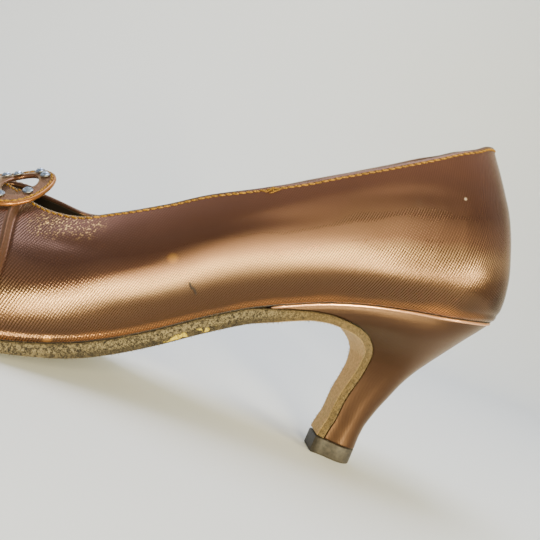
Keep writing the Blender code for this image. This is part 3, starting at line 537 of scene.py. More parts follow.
def satin(name, tones=SATIN_TONES_AND_PAINTED_LIGHT, weave=1.0, anisotropy=0.55, gloss=(0.20, 0.27)):
    """Polyester satin, a warp-faced weave with long floats, woven and dyed with a copper cast.

    The warp runs up the side, so the gloss is a band along the shoe. The floats' steps make a fine twill that
    shows where the band fades out, drawn about a quarter coarser than the real 0.64 mm so that it shows.
    """
    material, tree, shader, coords = paint(name, Anisotropic=anisotropy, Metallic=SATIN_METALLIC,
                                           IOR=SATIN_IOR, Specular_Tint=linear(SATIN_GLINT),
                                           Sheen_Weight=0.08, Sheen_Roughness=0.4)
    cloth = add(tree, "UVMap", uv_map="cloth")
    ribs_at = add(tree, "Mapping", [(cloth, "Vector")], in_Rotation=(0, 0, np.radians(TWILL_TURN)))
    ribs = add(tree, "TexWave", [(ribs_at, "Vector")], bands_direction="X",
               in_Scale=WAVE_TO_PITCH / TWILL_PITCH, in_Distortion=1.1, in_Detail=1.0, in_Detail_Scale=1.5)
    floats = add(tree, "TexWave", [(ribs_at, "Vector")], bands_direction="Y",
                 in_Scale=WAVE_TO_PITCH / FLOAT_PITCH, in_Distortion=1.5, in_Detail=2.0, in_Detail_Scale=3.0)
    grain = add(tree, "TexNoise", [(coords, "Vector")], in_Scale=GRAIN_SCALE, in_Detail=2.0,
                in_Roughness=0.6)
    cloud = add(tree, "TexNoise", [(coords, "Vector")], in_Scale=CLOUD_SCALE, in_Detail=4.0)
    where = add(tree, "UVMap", uv_map="place")
    share = add(tree, "SeparateXYZ", [(where, "Vector")])
    wander = add(tree, "Math", [(cloud, 0), (share.outputs["Y"], 2)], operation="MULTIPLY_ADD",
                 in_1=TONE_WANDER)
    level = add(tree, "Math", [(wander, 0)], operation="SUBTRACT", in_1=0.5 * TONE_WANDER)
    on_toe = add(tree, "MapRange", [(share.outputs["X"], "Value")], interpolation_type="SMOOTHSTEP",
                 in_From_Min=TOE_TONE_FROM, in_From_Max=TOE_TONE_TO)
    plain = add(tree, "Mix", [(on_toe, 0), (level, 2)], data_type="FLOAT", in_3=TOE_TONE)
    tone = ramp(tree, plain, *tones)
    steps = add(tree, "MapRange", [(floats.outputs["Fac"], "Value")], in_To_Min=0.45, in_To_Max=1.0)
    thread = add(tree, "Math", [(ribs.outputs["Fac"], 0), (steps, 1)], operation="MULTIPLY")
    height = add(tree, "Math", [(grain, 0), (thread, 2)], operation="MULTIPLY_ADD", in_1=0.20)
    # Painted shade: the dark between the floats is laid into the colour, as well as raised by the bump.
    shade = add(tree, "MapRange", [(height, "Value")], in_From_Min=0.12, in_From_Max=0.80,
                in_To_Min=0.95 * weave, in_To_Max=0.0)
    fades = add(tree, "MapRange", [(share.outputs["Y"], "Value")], in_From_Min=TWILL_FADE_FROM,
                in_From_Max=TWILL_FADE_TO, in_To_Min=1.0, in_To_Max=TWILL_LEFT)
    shown = add(tree, "Math", [(shade, 0), (fades, 1)], operation="MULTIPLY")
    threads = add(tree, "Mix", [(shown, 0), (tone, 6)], data_type="RGBA", in_7=linear(THREAD_DARK))
    join(tree, threads, shader.inputs["Base Color"])
    rough = add(tree, "MapRange", [(grain, "Value")], in_From_Min=0.35, in_From_Max=0.65, in_To_Min=gloss[0],
                in_To_Max=gloss[1])
    join(tree, rough, shader.inputs["Roughness"])
    bump = add(tree, "Bump", [(height, "Height")], in_Strength=weave, in_Distance=TWILL_DEPTH)
    join(tree, bump, shader.inputs["Normal"])
    along = add(tree, "Tangent", direction_type="UV_MAP", uv_map="cloth")
    join(tree, along, shader.inputs["Tangent"])
    return material


def lay_over(material, mask, colour, roughness=None):
    """Lays a colour, and a roughness if one is given, over a material where the mask is 1."""
    tree = material.node_tree
    shader = tree.nodes["Principled BSDF"]
    for name, value in (("Base Color", linear(colour)), ("Roughness", roughness)):
        if value is None:
            continue
        socket = shader.inputs[name]
        a, b = (6, 7) if name == "Base Color" else (2, 3)
        mix = add(tree, "Mix", [(mask, 0), (socket.links[0].from_socket, a)],
                  data_type="RGBA" if name == "Base Color" else "FLOAT")
        mix.inputs[b].default_value = value
        join(tree, mix, socket)


upper_satin = satin("copper_satin_weave")
tree = upper_satin.node_tree
spots = add(tree, "TexCoord").outputs["Object"]
where = add(tree, "UVMap", uv_map="place")
share = add(tree, "SeparateXYZ", [(where, "Vector")])
sway = add(tree, "MapRange", [(share.outputs["Y"], "Value")], interpolation_type="SMOOTHSTEP",
           in_From_Min=SWAY_FROM, in_From_Max=SWAY_FROM + SWAY_OVER, in_To_Min=SEAM_AHEAD / LENGTH,
           in_To_Max=(SEAM_AHEAD + SEAM_SWAY) / LENGTH)
past = add(tree, "Math", [(share.outputs["X"], 0), (sway, 1)], operation="SUBTRACT")
off_cord = add(tree, "Math", [(past, 0)], operation="SUBTRACT", in_1=CORD_HALF / LENGTH)
away = add(tree, "Math", [(off_cord, 0)], operation="ABSOLUTE")
on_cord = add(tree, "MapRange", [(away, "Value")], in_From_Min=0.9 * CORD_HALF / LENGTH,
              in_From_Max=1.6 * CORD_HALF / LENGTH, in_To_Min=0.85, in_To_Max=0.0)
lay_over(upper_satin, on_cord, "#5c3e2c", 0.55)
# Marks of wear and patches of painted shade: place and radius in millimetres, strength and colour. The two
# wide dark ones at the back corner above the heel are painted shade, and the two wide ones over the counter's
# upper part are partly rubbed-in dirt and partly painted shade.
MARKS_AND_PAINTED_SHADE = (
    ((-77.2, -29.3, 44.3), 2.2, 0.28, "#b8893c"), ((-14.3, -26.7, 88.6), 1.7, 0.55, "#4b3a34"),
    ((-0.5, -25.8, 95.5), 0.7, 0.80, "#e6d3c0"), ((-40.0, -30.0, 60.0), 1.2, 0.30, "#4b3424"),
    ((-101.2, -35.4, 10.0), 2.0, 0.50, "#c08a4c"), ((-118.0, -38.0, 14.0), 1.8, 0.35, "#4a3020"),
    ((12.0, -24.0, 70.0), 3.0, 0.35, "#3d2c20"), ((-86.0, -33.0, 24.0), 1.4, 0.30, "#4b3424"),
    # The last two here are painted shade at the back corner above the heel, where the counter turns away from
    # the light.
    ((24.0, -16.0, 66.0), 12.0, 0.85, "#1e1410"), ((13.0, -22.0, 66.0), 9.0, 0.80, "#1e1410"),
    # Dark blotches of rubbed-in dirt over the counter's upper part, laid wide as painted shade too.
    ((-11.7, -27.0, 85.8), 15.0, 0.24, "#33221e"), ((-29.0, -29.0, 78.6), 13.0, 0.22, "#33221e"),
)
specks = add(tree, "TexNoise", [(spots, "Vector")], in_Scale=1500.0, in_Detail=1.0)
for middle, radius, strength, colour in MARKS_AND_PAINTED_SHADE:
    far = add(tree, "VectorMath", [(spots, 0)], operation="DISTANCE", in_1=tuple(0.001 * v for v in middle))
    mark_or_shade = add(tree, "MapRange", [(far, "Value")], interpolation_type="SMOOTHSTEP",
               in_From_Min=0.0002 * radius, in_From_Max=0.001 * radius, in_To_Min=strength, in_To_Max=0.0)
    lay_over(upper_satin, mark_or_shade, colour)
# Bright specks of worn warp under the top edge, beside the vamp.
WORN_PLACES = ((-114.0, -22.0, 40.0), (-105.0, -22.3, 43.6))
WORN_FULL, WORN_REACH = 0.0020, 0.0075
for middle in WORN_PLACES:
    far = add(tree, "VectorMath", [(spots, 0)], operation="DISTANCE", in_1=tuple(0.001 * v for v in middle))
    worn = add(tree, "MapRange", [(far, "Value")], in_From_Min=WORN_FULL, in_From_Max=WORN_REACH,
               in_To_Min=1.0, in_To_Max=0.0)
    bright = add(tree, "MapRange", [(specks, "Value")], in_From_Min=0.56, in_From_Max=0.66, in_To_Max=0.9)
    both = add(tree, "Math", [(worn, 0), (bright, 1)], operation="MULTIPLY")
    lay_over(upper_satin, both, "#e0b878")
upper = place(grid_piece("upper_satin", satin_grid, cloth_uv, upper_place, flip=True), upper_satin)
wall = upper.modifiers.new("cloth_thickness", "SOLIDIFY")
wall.thickness, wall.offset = SATIN_LAYER, -1.0
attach(upper, "root")
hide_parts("upper")

# The lining: soft dark leather, glued inside the satin from the top edge to the board. It is pared thin,
# and with the satin it makes up the wall.
LINING_INSET = 0.00125
lining_grid = last_grid - last_normals * LINING_INSET
# Dyed lining leather, dull with fine pores: a dark brown laid near black, which also stands in as painted
# shade inside the shoe.
lining_leather, tree, shader, coords = paint("dark_lining_leather", Roughness=0.7)
pores = add(tree, "TexVoronoi", [(coords, "Vector")], in_Scale=1100.0)
patches = add(tree, "TexNoise", [(coords, "Vector")], in_Scale=60.0, in_Detail=4.0)
join(tree, ramp(tree, patches, (0.3, "#0f0b0a"), (0.7, "#1e1714")), shader.inputs["Base Color"])
bump = add(tree, "Bump", [(pores, "Height")], in_Strength=0.4, in_Distance=0.0001)
join(tree, bump, shader.inputs["Normal"])
lining = place(grid_piece("lining", lining_grid, flip=True), lining_leather)
wall = lining.modifiers.new("leather_thickness", "SOLIDIFY")
wall.thickness, wall.offset = UPPER_WALL - LINING_INSET, -1.0
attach(lining, "root")

# The top edge: the satin is folded in over a narrow dark binding, and a mustard lockstitch of about 2 mm runs
# close under the fold, all round the collar and the throat.
FOLD_RADIUS = 0.00090
FOLD_FLAT = 0.55
STITCH_PITCH = 0.0021
STITCH_LENGTH = 0.00215
STITCH_WIDTH = 0.00074
STITCH_DROP = 0.0008
STITCH_SLANT = 12.0
open_columns = stations <= THROAT_AHEAD + 1e-9
rim = satin_grid[open_columns, -1]
rim_normal = last_normals[open_columns, -1]
rim_centre = rim - rim_normal * 0.5 * UPPER_WALL


def unit(vectors):
    """Vectors of length 1."""
    return vectors / np.maximum(np.linalg.norm(vectors, axis=-1, keepdims=True), 1e-12)


def along_path(path, count=None, pitch=None):
    """Places at even distances along a path, as indices of its points with the parts between them."""
    run = np.concatenate([[0], np.cumsum(np.linalg.norm(np.diff(path, axis=0), axis=-1))])
    count = count or int(run[-1] / pitch)
    return np.interp(np.linspace(0, run[-1], count), run, np.arange(len(path)))


def pick(values, at):
    """Values of a path between its points, in a straight line from each to the next."""
    low = np.clip(np.floor(at).astype(int), 0, len(values) - 2)
    return values[low] + (values[low + 1] - values[low]) * (at - low)[:, None]


def tube(path, normal, radius, sides_round=12, flat=1.0):
    """A profile carried along a path: a circle of the radius, squashed by flat along the path's normal."""
    forward = unit(np.gradient(path, axis=0))
    across = unit(np.cross(forward, normal))
    out = np.cross(across, forward)
    turn = np.linspace(0, 2 * np.pi, sides_round + 1)[None, :, None]
    radius = np.broadcast_to(np.asarray(radius, float), len(path))[:, None, None]
    return path[:, None] + radius * (across[:, None] * np.cos(turn) + flat * out[:, None] * np.sin(turn))


at = along_path(rim_centre, count=620)
fold_path = pick(rim_centre, at)
fold_path[-1] = fold_path[0]
fold_out = unit(pick(rim_normal, at))
fold_up = unit(np.cross(fold_out, unit(np.gradient(fold_path, axis=0))))
fold_points = tube(fold_path, fold_up, FOLD_RADIUS, flat=FOLD_FLAT)


def run_map(points):
    """Distances in metres along and round a grid of points, for the weave on it."""
    along = np.cumsum(np.linalg.norm(np.diff(points, axis=0, prepend=points[:1]), axis=-1), axis=0)
    round_it = np.cumsum(np.linalg.norm(np.diff(points, axis=1, prepend=points[:, :1]), axis=-1), axis=1)
    return np.stack([along, round_it], axis=-1)


def even_map(points, share):
    """A place map with one share of the height all over."""
    return np.full((*points.shape[:2], 2), share)


# The same satin turned over the edge, painted darker as painted shade where the edge is seen end on, with
# little weave to see.
FOLD_PAINTED_SHADE_TONES = ((0.0, "#3c271d"), (1.0, "#4a3226"))
folded_satin = satin("folded_satin_edge", FOLD_PAINTED_SHADE_TONES, weave=0.4, anisotropy=0.0)
fold = place(grid_piece("top_fold", fold_points, run_map(fold_points), even_map(fold_points, 0.75)),
             folded_satin)
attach(fold, "root")


def grains(name, centres, forward, across, out, size, sides_round=10, rings=7):
    """Many like beads: each an ellipsoid with its three half sizes along three directions, in one mesh."""
    ring = np.linspace(0, np.pi, rings)[:, None]
    turn = np.linspace(0, 2 * np.pi, sides_round, endpoint=False)[None, :]
    ball = np.stack(np.broadcast_arrays(-np.cos(ring), np.sin(ring) * np.cos(turn),
                                        np.sin(ring) * np.sin(turn)), -1)
    ball = ball[1:-1].reshape(-1, 3)
    ball = np.concatenate([[(-1, 0, 0)], ball, [(1, 0, 0)]])
    axes = np.stack([forward * size[0], across * size[1], out * size[2]], axis=1)
    points = centres[:, None, :] + np.einsum("pk,nkj->npj", ball, axes)
    body = np.arange(1, len(ball) - 1).reshape(rings - 2, sides_round)
    nxt = np.roll(body, -1, axis=1)
    quads = np.stack([body[:-1], body[1:], nxt[1:], nxt[:-1]], -1).reshape(-1, 4)
    first = np.stack([np.zeros_like(body[0]), body[0], nxt[0]], -1)
    last = np.stack([np.full_like(body[0], len(ball) - 1), nxt[-1], body[-1]], -1)
    step = (np.arange(len(centres)) * len(ball))[:, None, None]
    quads = (quads[None] + step).reshape(-1, 4).tolist()
    caps = (np.stack([first, last])[None] + step[..., None]).reshape(-1, 3).tolist()
    mesh = bpy.data.meshes.new(name)
    mesh.from_pydata(points.reshape(-1, 3).tolist(), [], quads + caps)
    mesh.shade_smooth()
    work = bmesh.new()
    work.from_mesh(mesh)
    bmesh.ops.recalc_face_normals(work, faces=work.faces)
    work.to_mesh(mesh)
    work.free()
    return bpy.data.objects.new(name, mesh)


def grained(name, scale, *stops, detail=2.0, bump=None, **settings):
    """A material whose colour runs through stops with a fine noise, which can raise a bump too."""
    material, tree, shader, coords = paint(name, **settings)
    noise = add(tree, "TexNoise", [(coords, "Vector")], in_Scale=scale, in_Detail=detail)
    join(tree, ramp(tree, noise, *stops), shader.inputs["Base Color"])
    if bump:
        raised = add(tree, "Bump", [(noise, "Height")], in_Strength=bump[0], in_Distance=bump[1])
        join(tree, raised, shader.inputs["Normal"])
    return material


# Twisted polyester thread: mustard plies with dark lines between them, and a low gloss.
thread = grained("mustard_polyester_thread", 2600.0, (0.36, "#3d2a04"), (0.64, "#a0761a"),
                 bump=(0.6, 0.0001), Roughness=0.60, Specular_IOR_Level=0.25)


def stitch_row(name, path, normal, drop, pitch=STITCH_PITCH):
    """A row of stitches along a path, each lying a little across it, at a set drop below it."""
    at = along_path(path, pitch=pitch)[:-1]
    forward = unit(pick(np.gradient(path, axis=0), at))
    out = unit(pick(normal, at))
    across = unit(np.cross(out, forward))
    across = across * np.where(np.sum(across * (0, 0, 1), axis=1, keepdims=True) > 0, -1, 1)
    centres = pick(path, at) + across * drop + out * 0.12 * STITCH_WIDTH
    slant = np.radians(STITCH_SLANT)
    lie = forward * np.cos(slant) + across * np.sin(slant)
    row = grains(name, centres, lie, unit(np.cross(out, lie)), out,
                 (0.5 * STITCH_LENGTH, 0.5 * STITCH_WIDTH, 0.40 * STITCH_WIDTH))
    place(row, thread)
    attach(row, "root")
    return row


stitch_row("top_stitching", rim, rim_normal, STITCH_DROP)


def on_satin(ahead, share, lift):
    """Points on the outer side's satin from the distance ahead and the share of the height, lifted off it."""
    row = np.round(len(half) - 1 - np.interp(ahead, half, np.arange(len(half)))).astype(int)
    column = np.round(np.asarray(share) * (ROWS - 1)).astype(int)
    return satin_grid[row, column] + last_normals[row, column] * np.asarray(lift)[:, None]


def stray_thread(name, knots, radius, material):
    """A loose thread: a tube on a smooth curve through knots of distance ahead, share and lift."""
    knots = np.array(knots)
    t = np.linspace(0, len(knots) - 1, 14 * len(knots))
    ends = np.sqrt(np.clip(np.minimum(t, t[-1] - t) / 0.25, 0, 1))
    ahead, share, lift = (smooth(t, np.arange(len(knots)), knots[:, k]) for k in range(3))
    path = on_satin(0.001 * ahead, share, np.zeros(len(t)))
    soft = np.apply_along_axis(lambda v: np.convolve(np.pad(v, 4, "edge"), np.ones(9) / 9, "valid"), 0, path)
    row = np.round(len(half) - 1 - np.interp(0.001 * ahead, half, np.arange(len(half)))).astype(int)
    soft = soft + last_normals[row, ROWS // 2] * (0.001 * lift)[:, None]
    piece = place(grid_piece(name, tube(soft, np.array((0.3, -0.9, 0.3)), radius * ends, 8)), material)
    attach(piece, "root")


# A bit of dark lint caught on the satin, and the end of the top stitching, frayed and tangled at the side.
# The lint is spun cotton, matt and nearly black.
dark_thread = grained("dark_cotton_lint", 2500.0, (0.3, "#0d0a09"), (0.7, "#2c211c"), Roughness=0.9)
stray_thread("lint_on_side", ((102.4, 0.325, 0.25), (101.2, 0.280, 0.35), (100.3, 0.262, 0.35),
                              (98.8, 0.205, 0.25)), 0.00030, dark_thread)
stray_thread("loose_stitch_end", ((92.0, 0.985, 0.2), (90.6, 0.955, 0.5), (89.4, 0.995, 0.7),
                                  (88.8, 0.950, 0.5), (90.0, 0.940, 0.4), (87.6, 0.960, 0.3),
                                  (86.4, 0.985, 0.2)), 0.00020, thread)

# The insole board: pressed fibre with a thin dark leather sock glued over it. The sock runs into the
# lining all round, so its edge is shut in the wall.
INSOLE_THICKNESS = 0.0022
SOCK_INSET = 0.0003
sock_ahead = SOCK_INSET + (LENGTH - 2 * SOCK_INSET) * (0.5 - 0.5 * np.cos(np.linspace(0, np.pi, 160)))
sock_outer = edge_at(sock_ahead, OUTER, SOCK_INSET)[:, None]
sock_inner = edge_at(sock_ahead, INNER, SOCK_INSET)[:, None]
sock_share = 0.5 - 0.5 * np.cos(np.linspace(0, np.pi, 33))[None, :]
sock_points = world_point(sock_ahead[:, None], sock_outer + (sock_inner - sock_outer) * sock_share,
                          bottom_height(sock_ahead)[:, None] + INSOLE_THICKNESS)
sock = place(grid_piece("insole_sock", sock_points, flip=False), lining_leather)
wall = sock.modifiers.new("board_thickness", "SOLIDIFY")
wall.thickness, wall.offset = INSOLE_THICKNESS, -1.0
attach(sock, "root")
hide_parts("insole")

# The heel block: plastic covered in satin, cupped under the seat, with a slim stem. The cover is turned over
# the lip, where it makes a thin roll under the upper, painted pale as a highlight.
LIP_AHEAD = 0.0760
LIP_INSET = 0.0004
FLAP_THICKNESS = 0.0026
HEEL_TABLE = ("front", "front_rise", "back", "back_rise", "middle", "corner", "seat")
HEEL_ROWS = (
    (0.507, 0.090, 0.343, 0.090, 0.135, 0.108, 0.00),
    (0.500, 0.145, 0.344, 0.145, 0.131, 0.106, 0.00),
    (0.490, 0.205, 0.341, 0.205, 0.130, 0.105, 0.00),
    (0.486, 0.310, 0.318, 0.310, 0.135, 0.110, 0.00),
    (0.472, 0.410, 0.288, 0.410, 0.149, 0.122, 0.00),
    (0.462, 0.495, 0.260, 0.500, 0.172, 0.142, 0.00),
    (0.464, 0.565, 0.226, 0.585, 0.208, 0.174, 0.00),
    (0.484, 0.626, 0.186, 0.666, 0.262, 0.220, 0.04),
    (0.526, 0.673, 0.145, 0.744, 0.326, 0.275, 0.14),
    (0.580, 0.706, 0.103, 0.822, 0.390, 0.332, 0.32),
    (0.645, 0.723, 0.066, 0.885, 0.440, 0.378, 0.56),
    (0.724, 0.727, 0.036, 0.932, 0.470, 0.405, 0.78),
    (0.816, 0.711, 0.018, 0.962, 0.484, 0.420, 0.92),
    (0.908, 0.678, 0.009, 0.978, 0.488, 0.425, 1.00),
    (1.000, 0.640, 0.0055, 0.987, 0.490, 0.428, 1.00),
)
RINGS_BETWEEN = 8
RING_POINTS = 56
BREAST_POINTS = 13
row_at = np.linspace(0, len(HEEL_ROWS) - 1, RINGS_BETWEEN * (len(HEEL_ROWS) - 1) + 1)
HEEL = {name: smooth(row_at, np.arange(len(HEEL_ROWS)), column)
        for name, column in zip(HEEL_TABLE, np.array(HEEL_ROWS).T)}


def heel_rings():
    """The heel's rings, tip first: on each side, from the back to the front corner.

    The way along a ring goes as 1 minus a cosine. Its half width rises as a quarter circle from the back and
    eases to the front corner, and the upper rings take on the seat's outline and the last's bottom.
    """
    front, back = (HEEL[name][:, None] * LIP_AHEAD for name in ("front", "back"))
    front_up, back_up = (HEEL[name][:, None] * HEEL_HEIGHT for name in ("front_rise", "back_rise"))
    share = 1 - np.cos(np.linspace(0, 0.5 * np.pi, RING_POINTS))[None, :]
    ahead = back + (front - back) * share
    seat = HEEL["seat"][:, None]
    bend = bottom_height(ahead) - (bottom_height(back) + (bottom_height(front) - bottom_height(back)) * share)
    up = back_up + (front_up - back_up) * share + seat * bend
    middle, corner = HEEL["middle"][:, None] * SEAT_WIDTH, HEEL["corner"][:, None] * SEAT_WIDTH
    own = (middle + (corner - middle) * ease(2 * share - 1)) * np.sqrt(1 - (1 - np.clip(2 * share, 0,
                                                                                        1)) ** 2)
    follow = [np.abs(edge_at(LIP_INSET + (front - back) * share, side, LIP_INSET)) for side in (OUTER,
                                                                                                INNER)]
    halves = [world_point(ahead, side * (own * (1 - seat) + f * seat), up) for side,
              f in zip((OUTER, INNER), follow)]
    top_ahead = LIP_INSET + (LIP_AHEAD - LIP_INSET) * share
    tops = [world_point(top_ahead, edge_at(top_ahead, side, LIP_INSET), bottom_height(top_ahead) - GAP)
            for side in (OUTER, INNER)]
    return [np.concatenate([half, top]) for half, top in zip(halves, tops)]


def heel_loop(outer, inner):
    """Closed rings from the two sides: up the outer side, across the breast and back down the inner side."""
    between = np.linspace(0, 1, BREAST_POINTS)[None, 1:-1, None]
    breast = outer[:, -1:] + (inner[:, -1:] - outer[:, -1:]) * between
    return np.concatenate([outer, breast, inner[:, ::-1]], axis=1)


heel_outer, heel_inner = heel_rings()
rings = heel_loop(heel_outer, heel_inner)
ends = [np.broadcast_to(rings[k].mean(axis=0), rings[k].shape)[None] for k in (0, -1)]
heel_points = np.concatenate([ends[0], rings, ends[1]])
# The cover is stretched tight over the block, so its weave hardly shows and its gloss is broad and even.
HEEL_TONES = ((0.0, "#402b1f"), (0.5, "#3e291e"), (1.0, "#342218"))
heel_satin = satin("copper_satin_over_heel", HEEL_TONES, weave=0.35, anisotropy=0.0, gloss=(0.32, 0.40))
heel_up = np.linspace(0, 1, len(heel_points))[:, None] + 0 * heel_points[..., 0]
heel_place = np.stack(np.broadcast_arrays(0.5, heel_up), -1)
heel = place(grid_piece("heel_cover", heel_points, run_map(heel_points)[..., ::-1], heel_place), heel_satin)
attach(heel, "root")
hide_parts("heel")

# The lip's roll: the heel cover folded over the edge of the seat and glued, a thin cord of satin. Its tone is
# painted pale, as a painted highlight along the taut roll, so it shows as a pale, sharp line.
LIP_ROLL = 0.00050
LIP_POINTS = 300
LIP_FADE = 5
LIP_PAINTED_HIGHLIGHT_TONES = ((0.0, "#d09c78"), (1.0, "#d09c78"))
lip_path = np.concatenate([heel_outer[-1][::-1], heel_inner[-1][1:]]) - (0, 0, LIP_ROLL)
at = along_path(lip_path, count=LIP_POINTS)
lip_path = pick(lip_path, at)
lip_ends = np.minimum(np.arange(LIP_POINTS), np.arange(LIP_POINTS)[::-1]) / LIP_FADE
lip_points = tube(lip_path, np.array((0, 0, 1.0)), LIP_ROLL * np.sqrt(np.clip(lip_ends, 0, 1)), 14)
lip_satin = satin("copper_satin_on_lip", LIP_PAINTED_HIGHLIGHT_TONES, weave=0.15, anisotropy=0.0, gloss=(0.14, 0.20))
lip = place(grid_piece("heel_lip_roll", lip_points, run_map(lip_points), even_map(lip_points, 0.5)),
            lip_satin)
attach(lip, "root")

# The sole: one piece of suede, fuzzy at its edge, moulded to a low crown under the waist and carried on down
# the breast of the heel as a thin flap.
WAIST_THICKNESS = 0.0044
SOLE_MARGIN = 0.0006
SOLE_CROWN = 0.0022
WAIST_FROM = 0.62
WAIST_BLEND = 0.0250
LIP_CLEAR = 0.0060
SOLE_LEAST = 0.0004
SOLE_EDGE_ROUND = 0.0006
SOLE_ROWS, TOE_ROWS = 420, 60
toe_turn = np.linspace(0, 0.5 * np.pi, TOE_ROWS)
sole_toe = LENGTH + SOLE_MARGIN - TOE_ROUND * (1 - np.cos(toe_turn))
sole_ahead = np.concatenate([sole_toe, np.linspace(sole_toe[-1], LIP_AHEAD + LIP_CLEAR, 100)[1:]])
sole_up = bottom_height(sole_ahead) - GAP
sole_edges = np.stack([edge_at(sole_ahead, side, -SOLE_MARGIN) for side in (OUTER, INNER)], axis=1)
leaves = len(sole_ahead) - 1
corners = np.stack([heel_outer[-2::-1, -1], heel_inner[-2::-1, -1]], axis=1)
breast, breast_up = HEEL_TIP_CENTRE - corners[:, 0, 0], corners[:, 0, 2]
forward, rise = np.gradient(breast), np.gradient(breast_up)
size = np.hypot(forward, rise)
breast, breast_up = breast - rise / size * GAP, breast_up + forward / size * GAP
sole_ahead, sole_up = np.concatenate([sole_ahead, breast]), np.concatenate([sole_up, breast_up])
sole_edges = np.concatenate([sole_edges, corners[:, :, 1] + np.array([OUTER, INNER]) * SOLE_MARGIN])
run = np.concatenate([[0], np.cumsum(np.hypot(np.diff(sole_ahead), np.diff(sole_up)))])
even = np.sort(np.concatenate([np.linspace(0, run[-1], SOLE_ROWS), run[:TOE_ROWS]]))
sole_ahead, sole_up, sole_outer, sole_inner = (smooth(even, run, v) for v in (sole_ahead, sole_up,
                                                                              *sole_edges.T))
run_leaves = run[leaves]
wide_enough = sole_inner - sole_outer > SOLE_LEAST
even, sole_ahead, sole_up, sole_outer, sole_inner = (
    v[wide_enough] for v in (even, sole_ahead, sole_up, sole_outer, sole_inner))
forward, rise = np.gradient(sole_ahead), np.gradient(sole_up)
size = np.hypot(forward, rise)
in_waist = ease((WAIST_FROM * LENGTH - sole_ahead) / WAIST_BLEND)
on_heel = ease((even - run_leaves) / WAIST_BLEND)
sole_deep = SOLE_THICKNESS + (WAIST_THICKNESS - SOLE_THICKNESS) * in_waist
sole_deep = sole_deep + (FLAP_THICKNESS - sole_deep) * on_heel
sole_crown = SOLE_CROWN * in_waist * (1 - on_heel)


def sole_sections():
    """Closed sections of the sole, across from its outer to its inner edge and deep from its top.

    The corners are quarter circles of the edge's rounding, and the under side bulges as a parabola.
    """
    corner = np.linspace(0, 0.5 * np.pi, 5)
    width = np.maximum(sole_inner - sole_outer, 1e-6)[:, None]
    small = np.minimum(SOLE_EDGE_ROUND, 0.45 * width)
    flat = np.linspace(0, 1, 40)[None, 1:-1]
    lines = np.linspace(0, 1, 6)[None, 1:-1]
    deep = sole_deep[:, None]
    top = (small + (width - 2 * small) * flat, 0 * flat + 0 * width)
    right = (width + 0 * lines, small + (deep - 2 * small) * lines)
    low = (small + (width - 2 * small) * flat[:, ::-1], deep + 0 * flat)
    left = (0 * width + 0 * lines, small + (deep - 2 * small) * lines[:, ::-1])
    turns = [(width - small * (1 - np.sin(corner)), small * (1 - np.cos(corner))),
             (width - small * (1 - np.cos(corner)), deep - small * (1 - np.sin(corner))),
             (small * (1 - np.sin(corner)), deep - small * (1 - np.cos(corner))),
             (small * (1 - np.cos(corner)), small * (1 - np.sin(corner)))]
    across = np.concatenate([top[0], turns[0][0], right[0], turns[1][0], low[0], turns[2][0], left[0],
                             turns[3][0]], 1)
    down = np.concatenate([top[1], turns[0][1], right[1], turns[1][1], low[1], turns[2][1], left[1],
                           turns[3][1]], 1)
    share = np.clip(across / width, 0, 1)
    down = down + sole_crown[:, None] * (1 - (2 * share - 1) ** 2) * (down / deep)
    across = sole_outer[:, None] + across
    points = world_point(sole_ahead[:, None] - (rise / size)[:, None] * down, across,
                         sole_up[:, None] + (forward / size)[:, None] * down)
    depth = np.clip(down / deep, 0, 1)
    return np.concatenate([points, points[:, :1]], axis=1), np.concatenate([depth, depth[:, :1]], axis=1)


sole_grid, sole_depth = sole_sections()
sole_ends = [np.broadcast_to(sole_grid[k].mean(axis=0), sole_grid[k].shape)[None] for k in (0, -1)]
sole_grid = np.concatenate([sole_ends[0], sole_grid, sole_ends[1]])
spread = [np.concatenate([v[:1], v, v[-1:]])[:, None] + 0 * sole_grid[..., 0]
          for v in (in_waist, even, on_heel)]
sole_cloth = np.stack(spread[:2], axis=-1)
sole_depth = np.concatenate([sole_depth[:1], sole_depth, sole_depth[-1:]])
sole_place = np.stack([spread[2], sole_depth], axis=-1)
# Split suede, raised on both sides: flecked grey brown where it is cut, darker under the waist as painted
# shade, tan and painted paler on the flap's face as painted light, and fully matt.
suede, tree, shader, coords = paint("split_suede", Roughness=0.95, Sheen_Weight=0.12,
                                    Sheen_Tint=linear("#c8ae80"))
fuzz = add(tree, "TexNoise", [(coords, "Vector")], in_Scale=3200.0, in_Detail=3.0)
patches = add(tree, "TexNoise", [(coords, "Vector")], in_Scale=1100.0, in_Detail=5.0)
both = add(tree, "Math", [(fuzz, 0), (patches, 1)], operation="ADD")
half_both = add(tree, "Math", [(both, 0)], operation="MULTIPLY", in_1=0.5)
join(tree, ramp(tree, half_both, (0.41, "#080605"), (0.47, "#332c20"), (0.57, "#6e644b")),
     shader.inputs["Base Color"])
where = add(tree, "UVMap", uv_map="place")
share = add(tree, "SeparateXYZ", [(where, "Vector")])
waist_at = add(tree, "UVMap", uv_map="cloth")
waist = add(tree, "SeparateXYZ", [(waist_at, "Vector")])
low = add(tree, "MapRange", [(share.outputs["Y"], "Value")], in_From_Min=0.55, in_From_Max=0.70)
smooth_low = add(tree, "Math", [(low, 0), (waist.outputs["X"], 1)], operation="MULTIPLY")
painted_shade_low = add(tree, "Math", [(smooth_low, 0)], operation="MULTIPLY", in_1=0.8)


def lay_suede(mask, dark, light):
    """Lays a second suede tone, from dark to light with the nap, over the sole where the mask is 1."""
    socket = shader.inputs["Base Color"]
    tone = ramp(tree, half_both, (0.40, dark), (0.60, light))
    mix = add(tree, "Mix", [(mask, 0), (socket.links[0].from_socket, 6), (tone, 7)], data_type="RGBA")
    join(tree, mix, socket)


# Painted shade: the crowned under side of the waist, turned away from the light, is laid much darker than the
# cut edge.
lay_suede(painted_shade_low, "#16110a", "#2c2416")
lay_suede(share.outputs["X"], "#332917", "#665535")
